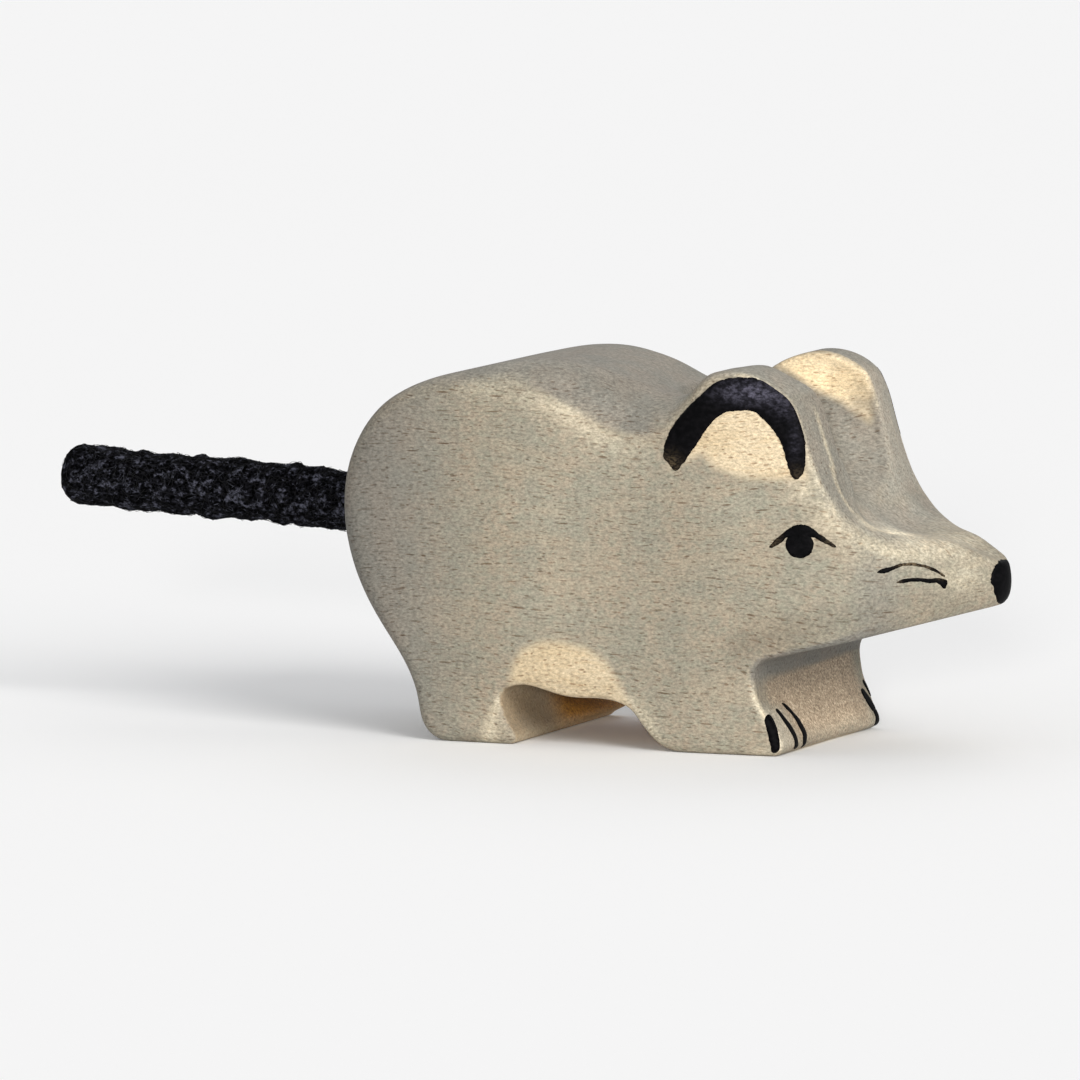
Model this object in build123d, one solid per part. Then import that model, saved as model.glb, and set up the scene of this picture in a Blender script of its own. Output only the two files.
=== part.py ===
from build123d import *
import os
from math import cos, radians, sin, sqrt

# Wooden mouse with a cord tail. Millimetres, +X to the nose, +Y to the mouse's left, +Z up.
# The origin is on the ground under the middle of the whole length, tail included.

# ---- driving dimensions -------------------------------------------------------------------
HALF_WIDTH = 11.5          # half of the plank's thickness
SOLE_R = 1.0               # sanded corners where the legs meet the soles
NOSE_X = 43.15             # tip of the nose
TAIL_X = -43.15            # tip of the tail
EAR_GROOVE_R = 6.3         # round-bottomed channel between the ears
GROOVE_FLOOR = (32.0, 20.0)   # a point (x, z) of the channel's floor, at the forehead
GROOVE_SLOPE = 20.8        # degrees, the channel falls towards the nose
GROOVE_START_X = 14.6      # the channel starts in the neck's hollow
NECK_X, NECK_Z = 13.4, 26.9   # lowest point of the neck's hollow on each flank
NECK_R = 5.2               # radius of the sanded hollow at the neck
CORD_R = 2.55              # felted cord
TAIL_ROOT = (-12.85, 18.63)   # where the cord's axis leaves the rump (x, z)
TAIL_RISE = 2.7            # degrees, the cord points slightly up
HOLE_R, HOLE_DEPTH = 2.75, 10.0
GLUE_BOTTOM, GLUE_MOUTH = 0.4, 0.7
SWAY_S, LIFT_S = 3.0, 13.0    # bending points along the cord, from the rump
SOCKET_R = CORD_R + 0.25      # hollow end that the next cord link turns in
SOCKET_BACK = 1.6             # how far the hollow end's rim stands back from the bending point
PAINT = 0.12               # paint film


# ---- side outline, seen from the mouse's right, (x, z) ---------------------------------------
ARCH = [(3.1, 0.0), (2.5, 1.7), (1.95, 3.4), (2.75, 4.7), (4.5, 5.1), (6.4, 4.9), (8.6, 4.6),
        (10.9, 4.45), (13.1, 3.9), (14.6, 2.75), (15.7, 1.4), (16.7, 0.0)]
CHEST = [(26.5, 0.0), (27.2, 0.75), (26.95, 2.2), (26.1, 4.6), (25.7, 6.5), (26.3, 7.9), (27.9, 8.75)]
CHIN_END = (41.6, 12.25)
NOSE = [CHIN_END, (42.7, 12.95), (NOSE_X, 14.4), (42.75, 15.75), (41.9, 16.4)]
HEAD = [(41.9, 16.4), (40.5, 16.85), (38.5, 17.3), (36.5, 17.75), (34.6, 18.4), (33.2, 19.25),
        (32.1, 20.45), (31.0, 22.2), (30.1, 24.3), (29.3, 26.9), (28.6, 29.1), (27.8, 30.6),
        (26.7, 31.65), (25.2, 32.35), (23.5, 32.6), (21.6, 32.2), (20.0, 31.35), (18.4, 30.2),
        (17.0, 29.6), (15.6, 29.65)]
BACK = [(15.6, 29.65), (14.0, 30.15), (12.6, 30.75), (10.7, 31.55), (8.5, 32.15), (6.2, 32.5),
        (3.8, 32.45), (1.2, 32.05), (-1.2, 31.5), (-3.4, 30.95), (-5.3, 30.4), (-7.2, 29.55),
        (-9.3, 28.2), (-11.4, 25.6), (-12.6, 22.4), (-12.85, 19.0), (-12.3, 15.6), (-11.2, 12.7),
        (-9.2, 9.4), (-7.2, 6.5), (-6.0, 3.8), (-5.45, 1.6), (-4.6, 0.0)]


def outline():
    with BuildSketch(Plane.XZ) as sk:
        with BuildLine():
            Line((-4.6, 0), ARCH[0])
            Spline(*ARCH)
            Line(ARCH[-1], CHEST[0])
            Spline(*CHEST, tangents=((1.2, 0.4), (14.0, 3.5)))
            Line(CHEST[-1], CHIN_END)
            Spline(*NOSE, tangents=((14.0, 3.5), (-1.4, 0.5)))
            Spline(*HEAD, tangents=((-1.4, 0.5), (-1.6, 0.25)))
            Spline(*BACK, tangents=((-1.6, 0.25), (0.6, -1.6)))
        make_face()
    return sk.sketch


# ---- plan outline: the flanks are flat and the snout tapers to a rounded tip ------------------
PLAN = [(27.0, 11.5), (29.2, 11.35), (31.2, 10.9), (33.0, 10.15), (34.6, 9.15), (36.2, 7.9), (37.8, 6.5),
        (39.4, 4.95), (41.0, 3.35), (42.3, 1.9), (NOSE_X + 0.02, 0.0)]


def plan():
    left = PLAN
    right = [(x, -y) for x, y in reversed(PLAN)]
    with BuildSketch(Plane.XY) as sk:
        with BuildLine():
            Line((-20, HALF_WIDTH), left[0])
            Spline(*left, tangents=((1, 0), (0, -1)))
            Spline(*right, tangents=((0, -1), (-1, 0)))
            Line(right[-1], (-20, -HALF_WIDTH))
            Line((-20, -HALF_WIDTH), (-20, HALF_WIDTH))
        make_face()
    return sk.sketch


# ---- wooden body -------------------------------------------------------------------------------
face = outline()
face = fillet([v for v in face.vertices() if abs(v.Z) < 0.01], SOLE_R)
side = Pos(0, HALF_WIDTH + 1, 0) * extrude(face, amount=2 * HALF_WIDTH + 2)
top = extrude(plan(), amount=40)
body = side & top

# channel between the ears: a round-bottomed slot that falls towards the nose
a = radians(GROOVE_SLOPE)
fall = (cos(a), 0, -sin(a))
up = (sin(a), 0, cos(a))
back_x = GROOVE_START_X
floor_z = GROOVE_FLOOR[1] + (GROOVE_FLOOR[0] - back_x) * sin(a) / cos(a)
slot_plane = Plane(origin=(back_x - 12 * cos(a), 0, floor_z + 12 * sin(a)), x_dir=(0, 1, 0), z_dir=fall)
slot_up = 1 if slot_plane.y_dir.dot(Vector(*up)) > 0 else -1
slot_sketch = Pos(0, slot_up * EAR_GROOVE_R) * Circle(EAR_GROOVE_R) + Pos(0, slot_up * (EAR_GROOVE_R + 15)) * Rectangle(
    2 * EAR_GROOVE_R, 30)
slot = extrude(slot_plane * slot_sketch, amount=60)
ahead = Pos(GROOVE_START_X + 20, 0, 30) * Box(40, 40, 60)
body = body - (slot & ahead)

# hollow on each side of the neck, sanded across the back's edge
for s in (-1, 1):
    axis = Vector(0, s, -1).normalized()             # out and down
    out = Vector(0, s, 1).normalized()               # out and up
    edge = Vector(NECK_X, s * HALF_WIDTH, NECK_Z)
    centre = edge + out * NECK_R
    pl = Plane(origin=centre - axis * 30, x_dir=(1, 0, 0), z_dir=axis)
    body = body - extrude(pl * Circle(NECK_R), amount=60)

# blind hole for the tail
t = radians(TAIL_RISE)
tail_dir = Vector(-cos(t), 0, sin(t))
root = Vector(TAIL_ROOT[0], 0, TAIL_ROOT[1])


def cord_plane(s):
    """Plane across the cord at the distance s from the rump, looking out along the cord."""
    return Plane(origin=root + tail_dir * s, x_dir=(0, 1, 0), z_dir=tail_dir)


body = body - extrude(cord_plane(-HOLE_DEPTH) * Circle(HOLE_R), amount=HOLE_DEPTH + 6)

# ---- glue: a thin cup around the cord's root ----------------------------------------------------
glue = extrude(cord_plane(-HOLE_DEPTH) * Circle(HOLE_R), amount=HOLE_DEPTH - GLUE_MOUTH)
glue = glue - extrude(cord_plane(-HOLE_DEPTH + GLUE_BOTTOM) * Circle(CORD_R), amount=HOLE_DEPTH)

# ---- cord: a glued root, and two links that stand for the bending cord ---------------------------
def turned(points, s):
    """A solid of revolution on the cord's axis; points are (radius, distance), arcs as (r, d, mid r, mid d)."""
    with BuildSketch(Plane.XZ) as sk:
        with BuildLine():
            here = points[0][:2]
            for p in points[1:] + [points[0][:2]]:
                if len(p) == 4:
                    ThreePointArc(here, p[2:], p[:2])
                else:
                    Line(here, p)
                here = p[:2]
        make_face()
    solid = revolve(sk.sketch, axis=Axis.Z, revolution_arc=360)
    return cord_plane(s).location * solid


rim = sqrt(SOCKET_R ** 2 - SOCKET_BACK ** 2)          # radius of the hollow end's rim
half = sqrt(0.5)
deep = HOLE_DEPTH - GLUE_BOTTOM
cap = CORD_R * half

# the root: glued in the hole, with a hollow end just outside the rump
mid = SWAY_S - sqrt(SOCKET_R ** 2 - (rim / 2) ** 2)
tail_root = turned([(0, -deep), (CORD_R, -deep), (CORD_R, SWAY_S - SOCKET_BACK), (rim, SWAY_S - SOCKET_BACK),
                    (0, SWAY_S - SOCKET_R, rim / 2, mid)], 0)
# first link: round end at the rump, hollow end further out
run = LIFT_S - SWAY_S
mid = run - sqrt(SOCKET_R ** 2 - (rim / 2) ** 2)
tail_middle = turned([(0, -CORD_R), (CORD_R, 0, cap, -cap), (CORD_R, run - SOCKET_BACK), (rim, run - SOCKET_BACK),
                      (0, run - SOCKET_R, rim / 2, mid)], SWAY_S)
# second link: round end, and the cord's trimmed tip
TIP_R = 1.1
flat = CORD_R - TIP_R
tail_len = (root.X - TAIL_X - flat * sin(t)) / cos(t)
run = tail_len - LIFT_S
tail_end = turned([(0, -CORD_R), (CORD_R, 0, cap, -cap), (CORD_R, run - TIP_R),
                   (flat, run, flat + TIP_R * half, run - TIP_R + TIP_R * half), (0, run)], LIFT_S)
sway = root + tail_dir * SWAY_S
lift = root + tail_dir * LIFT_S
print("bending points", sway, lift)
print("cord free length", round(tail_len, 2), "glued", HOLE_DEPTH - GLUE_BOTTOM)

# ---- painted marks: thin films let into the wood's surface -----------------------------------------
EAR_ARC = [(16.7, 25.0), (17.05, 26.25), (18.1, 28.1), (19.9, 29.9), (21.7, 30.85), (23.8, 31.2), (25.9, 30.85),
           (27.3, 29.85), (28.25, 28.4), (28.7, 26.4), (28.75, 24.6), (28.4, 23.5),
           (27.9, 23.85), (27.7, 24.8), (27.35, 25.85), (26.75, 26.85), (25.95, 27.9), (25.05, 28.7), (24.05, 29.05),
           (23.0, 28.95), (21.85, 28.5), (20.75, 27.35), (19.7, 26.15), (18.45, 24.6), (17.65, 23.75)]
EYE, EYE_R = (28.75, 17.85), 1.14
LID = [(26.25, 17.55), (27.0, 18.05), (27.9, 18.75), (28.95, 19.15), (29.85, 18.85), (30.8, 18.2), (31.65, 17.7),
       (31.6, 18.0), (30.75, 18.6), (29.9, 19.3), (28.95, 19.62), (27.9, 19.15), (27.0, 18.45), (26.2, 17.85)]
MOUTH = [[(34.8, 15.5), (35.9, 16.02), (37.1, 16.17), (38.1, 15.76), (39.2, 14.95), (39.25, 15.15), (38.1, 16.0),
          (37.1, 16.4), (35.9, 16.3), (34.8, 15.75)],
         [(36.2, 14.62), (37.1, 14.72), (38.1, 14.66), (39.05, 14.4), (39.2, 14.1), (39.4, 14.15), (39.25, 14.62),
          (38.1, 14.95), (37.1, 15.0), (36.2, 14.86)]]
CLAWS = [[(11.1, 0.5), (11.5, 3.4), (10.7, 3.6), (10.25, 0.5)],
         [(7.6, 0.45), (7.75, 1.9), (9.9, 3.9), (10.2, 3.7), (8.15, 1.7), (7.95, 0.45)],
         [(5.9, 0.5), (5.9, 1.7), (8.1, 4.1), (8.4, 3.9), (6.25, 1.5), (6.25, 0.5)]]
NOSE_PAINT_X = 41.9         # the nose's paint starts about here


def prism_y(points, s):
    with BuildSketch(Plane.XZ) as sk:
        with BuildLine():
            Polyline(*points, close=True)
        make_face()
    lo, hi = sorted((s * 3.0, s * 20.0))
    solid = extrude(sk.sketch, amount=40, both=True)
    return solid & (Pos(20, (lo + hi) / 2, 20) * Box(60, hi - lo, 60))


def prism_x(points, s):
    with BuildSketch(Plane.YZ) as sk:
        with BuildLine():
            Polyline(*[(s * y, z) for y, z in points], close=True)
        make_face()
    return Pos(24.5, 0, 0) * extrude(sk.sketch, amount=6)


marks = {}
for s, name in ((-1, "right"), (1, "left")):
    inner = Pos(0, -s * PAINT, 0) * body
    ear = (prism_y(EAR_ARC, s) & body) - inner
    eye_prism = prism_y(LID, s) + (prism_y([(EYE[0] + EYE_R * cos(radians(k * 15)), EYE[1] + EYE_R * sin(radians(k * 15)))
                                            for k in range(24)], s))
    eye = (eye_prism & body) - inner
    mouth = [((prism_y(m, s) & body) - inner) for m in MOUTH]
    back = Pos(-PAINT, 0, 0) * body
    claws = [((prism_x(c, s) & body) - back) for c in CLAWS]
    marks["ear_paint_" + name] = ear
    marks["eye_paint_" + name] = eye
    marks["mouth_paint_" + name] = mouth[0] + mouth[1]
    marks["claw_paint_" + name] = claws[0] + claws[1] + claws[2]
nose_cut = extrude(Plane(origin=(NOSE_PAINT_X - 1, 0, 14.4), x_dir=(0, 1, 0), z_dir=(1, 0, 0)) * Ellipse(2.0, 1.9),
                   amount=6)
marks["nose_paint"] = (nose_cut & body) - (Pos(-PAINT, 0, 0) * body)
for film in marks.values():
    body = body - film

# ---- write -------------------------------------------------------------------------------------
nodes = {"body": body, "tail_glue": glue, "tail_root": tail_root, "tail_middle": tail_middle, "tail_end": tail_end}
nodes.update(marks)
os.makedirs("parts", exist_ok=True)
for name, solid in nodes.items():
    got = solid.solids()
    shape = got[0] if len(got) == 1 else Compound(children=list(got))
    shape.label = name
    export_step(shape, "parts/" + name + ".step")
    print(name, "solids", len(got), "volume", [round(s.volume, 2) for s in got])
whole = Compound(children=[s for n in nodes.values() for s in n.solids()])
print("box", whole.bounding_box())
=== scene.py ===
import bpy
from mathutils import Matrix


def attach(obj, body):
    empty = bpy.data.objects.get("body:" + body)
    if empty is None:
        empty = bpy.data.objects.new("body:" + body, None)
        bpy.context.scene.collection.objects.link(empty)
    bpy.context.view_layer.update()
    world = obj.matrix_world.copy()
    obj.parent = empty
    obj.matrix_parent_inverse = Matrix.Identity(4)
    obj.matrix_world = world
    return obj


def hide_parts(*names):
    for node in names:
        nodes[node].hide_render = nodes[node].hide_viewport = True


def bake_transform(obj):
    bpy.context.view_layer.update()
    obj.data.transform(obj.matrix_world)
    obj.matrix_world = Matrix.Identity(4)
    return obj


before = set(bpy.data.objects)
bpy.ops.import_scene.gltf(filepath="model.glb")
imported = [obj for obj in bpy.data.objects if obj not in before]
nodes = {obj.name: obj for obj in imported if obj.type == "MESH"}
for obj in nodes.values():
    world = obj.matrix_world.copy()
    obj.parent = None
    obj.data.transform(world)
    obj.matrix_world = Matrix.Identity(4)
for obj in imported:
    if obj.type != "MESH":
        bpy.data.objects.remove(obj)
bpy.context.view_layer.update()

import math

import bpy
import numpy as np
from mathutils import Matrix, Vector
from mathutils.geometry import delaunay_2d_cdt

MM = 0.001
scene = bpy.context.scene
RNG = np.random.default_rng(20417)

# =================================================================================================
# camera, floor and light
# =================================================================================================
AZ, EL = math.radians(22.0), math.radians(6.0)
BACKWARD = Vector((math.sin(AZ) * math.cos(EL), -math.cos(AZ) * math.cos(EL), math.sin(EL)))
TARGET = Vector((0.86553, 0.0, 16.08929)) * MM
cam_data = bpy.data.cameras.new("camera")
cam_data.sensor_width = 36.0
cam_data.lens = 423.33
cam_data.clip_start, cam_data.clip_end = 0.01, 50.0
cam = bpy.data.objects.new("camera", cam_data)
scene.collection.objects.link(cam)
cam.location = TARGET + BACKWARD * (1076.3 * MM)
cam.rotation_mode = "QUATERNION"
cam.rotation_quaternion = (-BACKWARD).to_track_quat("-Z", "Y")
scene.camera = cam
scene.view_settings.view_transform = "Standard"
scene.view_settings.look = "None"


def sun(name, azimuth, elevation, strength, spread, colour):
    """A broad soft lamp far away; azimuth 0 is on the -Y side, 90 on the +X side."""
    a, e = math.radians(azimuth), math.radians(elevation)
    data = bpy.data.lights.new(name, "SUN")
    data.energy, data.angle, data.color = strength, math.radians(spread), colour
    ob = bpy.data.objects.new(name, data)
    scene.collection.objects.link(ob)
    back = Vector((math.sin(a) * math.cos(e), -math.cos(a) * math.cos(e), math.sin(e)))
    ob.location = back
    ob.rotation_mode = "QUATERNION"
    ob.rotation_quaternion = (-back).to_track_quat("-Z", "Y")
    return ob


sun("key", 54.0, 27.0, 2.1, 30.0, (1.0, 0.985, 0.955))
sun("fill", 18.0, 9.5, 1.55, 6.0, (1.0, 0.99, 0.97))
sun("rim", 200.0, 40.0, 0.35, 40.0, (1.0, 1.0, 1.0))

world = bpy.data.worlds.new("studio")
scene.world = world
world.use_nodes = True
world.node_tree.nodes["Background"].inputs["Color"].default_value = (0.97, 0.98, 1.0, 1.0)
world.node_tree.nodes["Background"].inputs["Strength"].default_value = 0.50


# =================================================================================================
# small helpers for node graphs
# =================================================================================================
class Graph:
    """A Principled material whose inputs are wired with short calls."""

    def __init__(self, name):
        self.mat = bpy.data.materials.new(name)
        self.mat.use_nodes = True
        self.t = self.mat.node_tree
        self.t.nodes.clear()
        self.out = self.t.nodes.new("ShaderNodeOutputMaterial")
        self.bsdf = self.t.nodes.new("ShaderNodeBsdfPrincipled")
        self.t.links.new(self.bsdf.outputs["BSDF"], self.out.inputs["Surface"])

    def put(self, socket, value):
        if isinstance(value, bpy.types.NodeSocket):
            self.t.links.new(value, socket)
        elif value is not None:
            if hasattr(socket.default_value, "__len__") and not hasattr(value, "__len__"):
                value = [value] * len(socket.default_value)
            if hasattr(value, "__len__") and len(socket.default_value) == 4 and len(value) == 3:
                value = (*value, 1.0)
            socket.default_value = value

    def shader(self, **values):
        for key, value in values.items():
            self.put(self.bsdf.inputs[key.replace("_", " ")], value)

    def math(self, op, a, b=None, c=None, clamp=False):
        n = self.t.nodes.new("ShaderNodeMath")
        n.operation, n.use_clamp = op, clamp
        for i, v in enumerate((a, b, c)):
            if v is not None:
                self.put(n.inputs[i], v)
        return n.outputs[0]

    def vmath(self, op, a, b=None):
        n = self.t.nodes.new("ShaderNodeVectorMath")
        n.operation = op
        self.put(n.inputs[0], a)
        if b is not None:
            self.put(n.inputs[1], b)
        return n.outputs["Value"] if op in ("LENGTH", "DOT_PRODUCT", "DISTANCE") else n.outputs["Vector"]

    def mix(self, fac, a, b, blend="MIX"):
        n = self.t.nodes.new("ShaderNodeMix")
        n.data_type, n.blend_type = "RGBA", blend
        n.clamp_factor = True
        self.put(n.inputs["Factor"], fac)
        self.put(n.inputs[6], a)
        self.put(n.inputs[7], b)
        return n.outputs[2]

    def lerp(self, fac, a, b):
        n = self.t.nodes.new("ShaderNodeMix")
        n.data_type = "FLOAT"
        self.put(n.inputs["Factor"], fac)
        self.put(n.inputs[2], a)
        self.put(n.inputs[3], b)
        return n.outputs[0]

    def ramp(self, value, lo, hi, to_lo=0.0, to_hi=1.0):
        n = self.t.nodes.new("ShaderNodeMapRange")
        n.interpolation_type = "SMOOTHSTEP"
        for i, v in enumerate((value, lo, hi, to_lo, to_hi)):
            self.put(n.inputs[i], v)
        return n.outputs[0]

    def xyz(self, vector):
        n = self.t.nodes.new("ShaderNodeSeparateXYZ")
        self.put(n.inputs[0], vector)
        return n.outputs

    def combine(self, x=0.0, y=0.0, z=0.0):
        n = self.t.nodes.new("ShaderNodeCombineXYZ")
        for i, v in enumerate((x, y, z)):
            self.put(n.inputs[i], v)
        return n.outputs[0]

    def noise(self, vector, scale=1.0, detail=2.0, rough=0.5, dims="3D"):
        n = self.t.nodes.new("ShaderNodeTexNoise")
        n.noise_dimensions = dims
        self.put(n.inputs["Vector"], vector)
        n.inputs["Scale"].default_value = scale
        n.inputs["Detail"].default_value = detail
        n.inputs["Roughness"].default_value = rough
        return n.outputs["Fac"] if "Fac" in n.outputs else n.outputs[0]

    def voronoi(self, vector, scale=1.0, dims="2D", feature="F1", jitter=1.0):
        n = self.t.nodes.new("ShaderNodeTexVoronoi")
        n.voronoi_dimensions, n.feature = dims, feature
        self.put(n.inputs["Vector"], vector)
        n.inputs["Scale"].default_value = scale
        n.inputs["Randomness"].default_value = jitter
        return n.outputs

    def attribute(self, name):
        n = self.t.nodes.new("ShaderNodeAttribute")
        n.attribute_name = name
        return n.outputs["Fac"]

    def coords(self):
        n = self.t.nodes.new("ShaderNodeTexCoord")
        return n.outputs["Object"], n.outputs["Normal"]

    def bump(self, height, distance, strength=1.0):
        n = self.t.nodes.new("ShaderNodeBump")
        n.inputs["Strength"].default_value = strength
        n.inputs["Distance"].default_value = distance
        self.put(n.inputs["Height"], height)
        self.t.links.new(n.outputs["Normal"], self.bsdf.inputs["Normal"])


def srgb(r, g, b):
    """Linear colour of an 8-bit display colour."""
    return tuple((v / 12.92) if v <= 0.04045 else ((v + 0.055) / 1.055) ** 2.4 for v in (r / 255, g / 255, b / 255))


# =================================================================================================
# the wooden body as a distance field, in millimetres
# =================================================================================================
# side outline (x, z, radius of the sanded edge there)
ARCH = [(3.5, 0.0, 0.6), (3.4, 0.5, 0.5), (2.95, 1.25, 0.4), (2.45, 2.0, 0.3), (2.1, 2.9, 0.28), (1.92, 3.85, 0.28), (2.15, 4.55, 0.3),
        (2.95, 4.93, 0.4), (3.89, 5.08, 0.4), (5.09, 4.9, 0.4), (6.0, 4.66, 0.4), (7.49, 4.31, 0.4), (9.0, 4.2, 0.4),
        (10.49, 4.22, 0.4), (11.68, 4.12, 0.45), (12.87, 3.8, 0.5), (13.47, 3.48, 0.5), (14.33, 2.46, 0.6), (15.22, 1.36, 0.7),
        (16.2, 0.52, 0.8), (17.4, 0.08, 0.7), (18.6, 0.0, 0.6)]
CHEST = [(26.8, 0.0, 0.9), (27.2, 0.6, 0.9), (27.05, 1.4, 0.9), (26.6, 2.3, 0.8), (26.05, 3.6, 0.7), (25.7, 4.6, 0.6), (25.45, 5.9, 0.55),
         (25.42, 7.0, 0.55), (25.8, 7.8, 0.55), (26.7, 8.2, 0.6), (28.0, 8.5, 0.65)]
CHIN_MID = (34.0, 10.13, 0.9)
CHIN_END = (42.0, 12.2, 1.3)
NOSE = [CHIN_END, (43.15, 12.85, 1.8), (43.68, 14.4, 2.0), (43.2, 16.1, 2.0), (42.3, 17.05, 2.2)]
HEAD = [(42.3, 17.05, 2.2), (40.7, 17.55, 2.4), (38.6, 17.92, 2.3), (36.5, 18.1, 1.9), (34.6, 18.62, 1.5), (33.2, 19.35, 1.3),
        (32.0, 20.45, 1.0), (30.9, 22.15, 0.85), (30.0, 24.3, 0.75), (29.15, 26.9, 0.75), (28.45, 29.1, 0.75), (27.65, 30.52, 0.8),
        (26.5, 31.45, 0.9), (25.1, 32.1, 0.95), (23.5, 32.35, 1.1), (21.6, 31.98, 1.2), (20.0, 31.3, 1.5), (18.4, 30.25, 2.4),
        (17.0, 29.62, 4.2), (15.6, 29.55, 5.6)]
BACK = [(15.6, 29.55, 5.6), (14.0, 29.85, 6.0), (12.6, 30.4, 5.8), (10.7, 31.18, 5.3), (8.5, 31.8, 4.8), (6.2, 32.2, 4.3),
        (3.8, 32.25, 3.9), (1.2, 31.95, 3.4), (-1.2, 31.45, 2.9), (-3.4, 30.95, 2.5), (-5.3, 30.4, 2.2), (-7.2, 29.6, 2.0),
        (-9.3, 28.25, 1.9), (-11.4, 25.6, 1.8), (-12.6, 22.4, 1.8), (-12.85, 19.0, 1.8), (-12.3, 15.6, 1.8),
        (-11.2, 12.7, 1.7), (-9.2, 9.4, 1.5), (-7.2, 6.5, 1.3), (-6.0, 3.8, 1.1), (-5.45, 1.6, 0.9), (-4.7, 0.0, 0.9)]
PLAN = [(27.0, 11.5), (29.2, 11.35), (31.2, 10.9), (33.0, 10.15), (34.6, 9.15), (36.2, 7.9), (37.8, 6.5), (39.4, 4.95),
        (41.0, 3.4), (42.5, 2.15), (43.7, 0.0)]
HALF = 11.5
GROOVE_R, GROOVE_TAN = 6.3, math.tan(math.radians(20.8))
TAIL_RISE = math.radians(2.7)
TAIL_DIR = np.array([-math.cos(TAIL_RISE), 0.0, math.sin(TAIL_RISE)])
TAIL_ROOT = np.array([-12.85, 0.0, 18.63])
HOLE_R = 2.8


def soft(x, lo, hi):
    """Smooth step from 0 at lo to 1 at hi."""
    t = np.clip((x - lo) / (hi - lo), 0, 1)
    return t * t * (3 - 2 * t)


def spline(points, first=None, last=None, step=0.22):
    """Smooth curve through the points (any number of columns), clamped to the given end directions."""
    p = np.array(points, float)
    h = np.maximum(np.hypot(*np.diff(p[:, :2], axis=0).T), 1e-9)
    n = len(p)
    a, r = np.zeros((n, n)), np.zeros((n, p.shape[1]))
    for i in range(1, n - 1):
        a[i, i - 1], a[i, i], a[i, i + 1] = 1 / h[i - 1], 2 * (1 / h[i - 1] + 1 / h[i]), 1 / h[i]
        r[i] = 3 * ((p[i] - p[i - 1]) / h[i - 1] ** 2 + (p[i + 1] - p[i]) / h[i] ** 2)
    for i, way, j, k in ((0, first, 1, 0), (n - 1, last, n - 2, n - 2)):
        chord = (p[k + 1] - p[k]) / h[k]
        if way is None:
            a[i, i], a[i, j], r[i] = 2, 1, 3 * chord
        else:
            a[i, i] = 1
            r[i] = chord
            r[i, :2] = np.array(way, float) / np.hypot(*way)
    m = np.linalg.solve(a, r)
    out = []
    for i in range(n - 1):
        k = max(2, int(round(h[i] / step)))
        t = (np.arange(k) / k)[:, None]
        out.append((2 * t ** 3 - 3 * t ** 2 + 1) * p[i] + (t ** 3 - 2 * t ** 2 + t) * h[i] * m[i]
                   + (-2 * t ** 3 + 3 * t ** 2) * p[i + 1] + (t ** 3 - t ** 2) * h[i] * m[i + 1])
    out = np.vstack(out + [p[-1:]])
    if p.shape[1] > 2:                                  # radii go straight from point to point
        s = np.concatenate([[0], np.cumsum(h)])
        d = np.concatenate([np.linspace(s[i], s[i + 1], max(2, int(round(h[i] / step))), endpoint=False)
                            for i in range(n - 1)] + [[s[-1]]])
        out[:, 2] = np.interp(d, s, p[:, 2])
    return out


def line(a, b, step=0.22):
    a, b = np.array(a, float), np.array(b, float)
    k = max(2, int(np.hypot(*(b - a)[:2]) / step))
    return a + (b - a) * np.linspace(0, 1, k + 1)[:, None]


def ease_corners(curves, size):
    """Joins the curves into one loop; each joint listed in size is cut back by that much and rounded."""
    cut = []
    for i, c in enumerate(curves):
        s = np.concatenate([[0], np.cumsum(np.hypot(*np.diff(c[:, :2], axis=0).T))])
        a, b = size.get(i, 0.0), s[-1] - size.get((i + 1) % len(curves), 0.0)
        keep = (s > a + 1e-6) & (s < b - 1e-6)
        ends = [np.array([np.interp(d, s, c[:, j]) for j in range(c.shape[1])]) for d in (a, b)]
        cut.append(np.vstack([ends[0], c[keep], ends[1]]))
    loop = []
    for i, c in enumerate(cut):
        before, corner = cut[i - 1][-1], curves[i][0]
        if size.get(i, 0.0):
            t = np.linspace(0, 1, 9)[1:-1, None]
            loop.append((1 - t) ** 2 * before + 2 * t * (1 - t) * corner + t ** 2 * c[0])
        loop.append(c if size.get(i, 0.0) else c[1:])
    return np.vstack(loop)


OUTLINE = ease_corners([
    line((-4.7, 0.0, 0.9), ARCH[0]), spline(ARCH, None, (1.0, 0.0)), line(ARCH[-1], CHEST[0]),
    spline(CHEST, (1.2, 0.4), (14.0, 3.5)), line(CHEST[-1], CHIN_MID), line(CHIN_MID, CHIN_END),
    spline(NOSE, (14.0, 3.5), (-1.4, 0.5)), spline(HEAD, (-1.4, 0.5), (-1.6, 0.25)),
    spline(BACK, (-1.6, 0.25), (0.6, -1.6))], {0: 1.7, 1: 1.0, 3: 0.7})
FACET_COS, FACET_SIN = math.cos(math.radians(14.0)), math.sin(math.radians(14.0))


def facet(x, z):
    """How far inside the outline the facet on the ears' outer edge begins; below zero there is none."""
    full = 0.42 + 0.27 * soft(x, 25.5, 28.8)
    return -0.5 + (full + 0.5) * soft(x, 19.5, 24.0) * soft(z, 17.6, 24.6)


way = np.roll(OUTLINE[:, :2], -1, axis=0) - np.roll(OUTLINE[:, :2], 1, axis=0)
way = np.stack([way[:, 1], -way[:, 0]], 1) / np.hypot(*way.T)[:, None]
OUTLINE[:, :2] += way * (np.maximum(facet(*OUTLINE[:, :2].T), 0.0) * (0.2 + 0.62 * way[:, 0]))[:, None]
half_plan = np.vstack([line((-20.0, HALF), PLAN[0], 1.0)[:-1], spline(PLAN, (1, 0), (0, -1))])
PLAN_LOOP = np.vstack([half_plan, (half_plan * [1, -1])[::-1][1:]])


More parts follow.
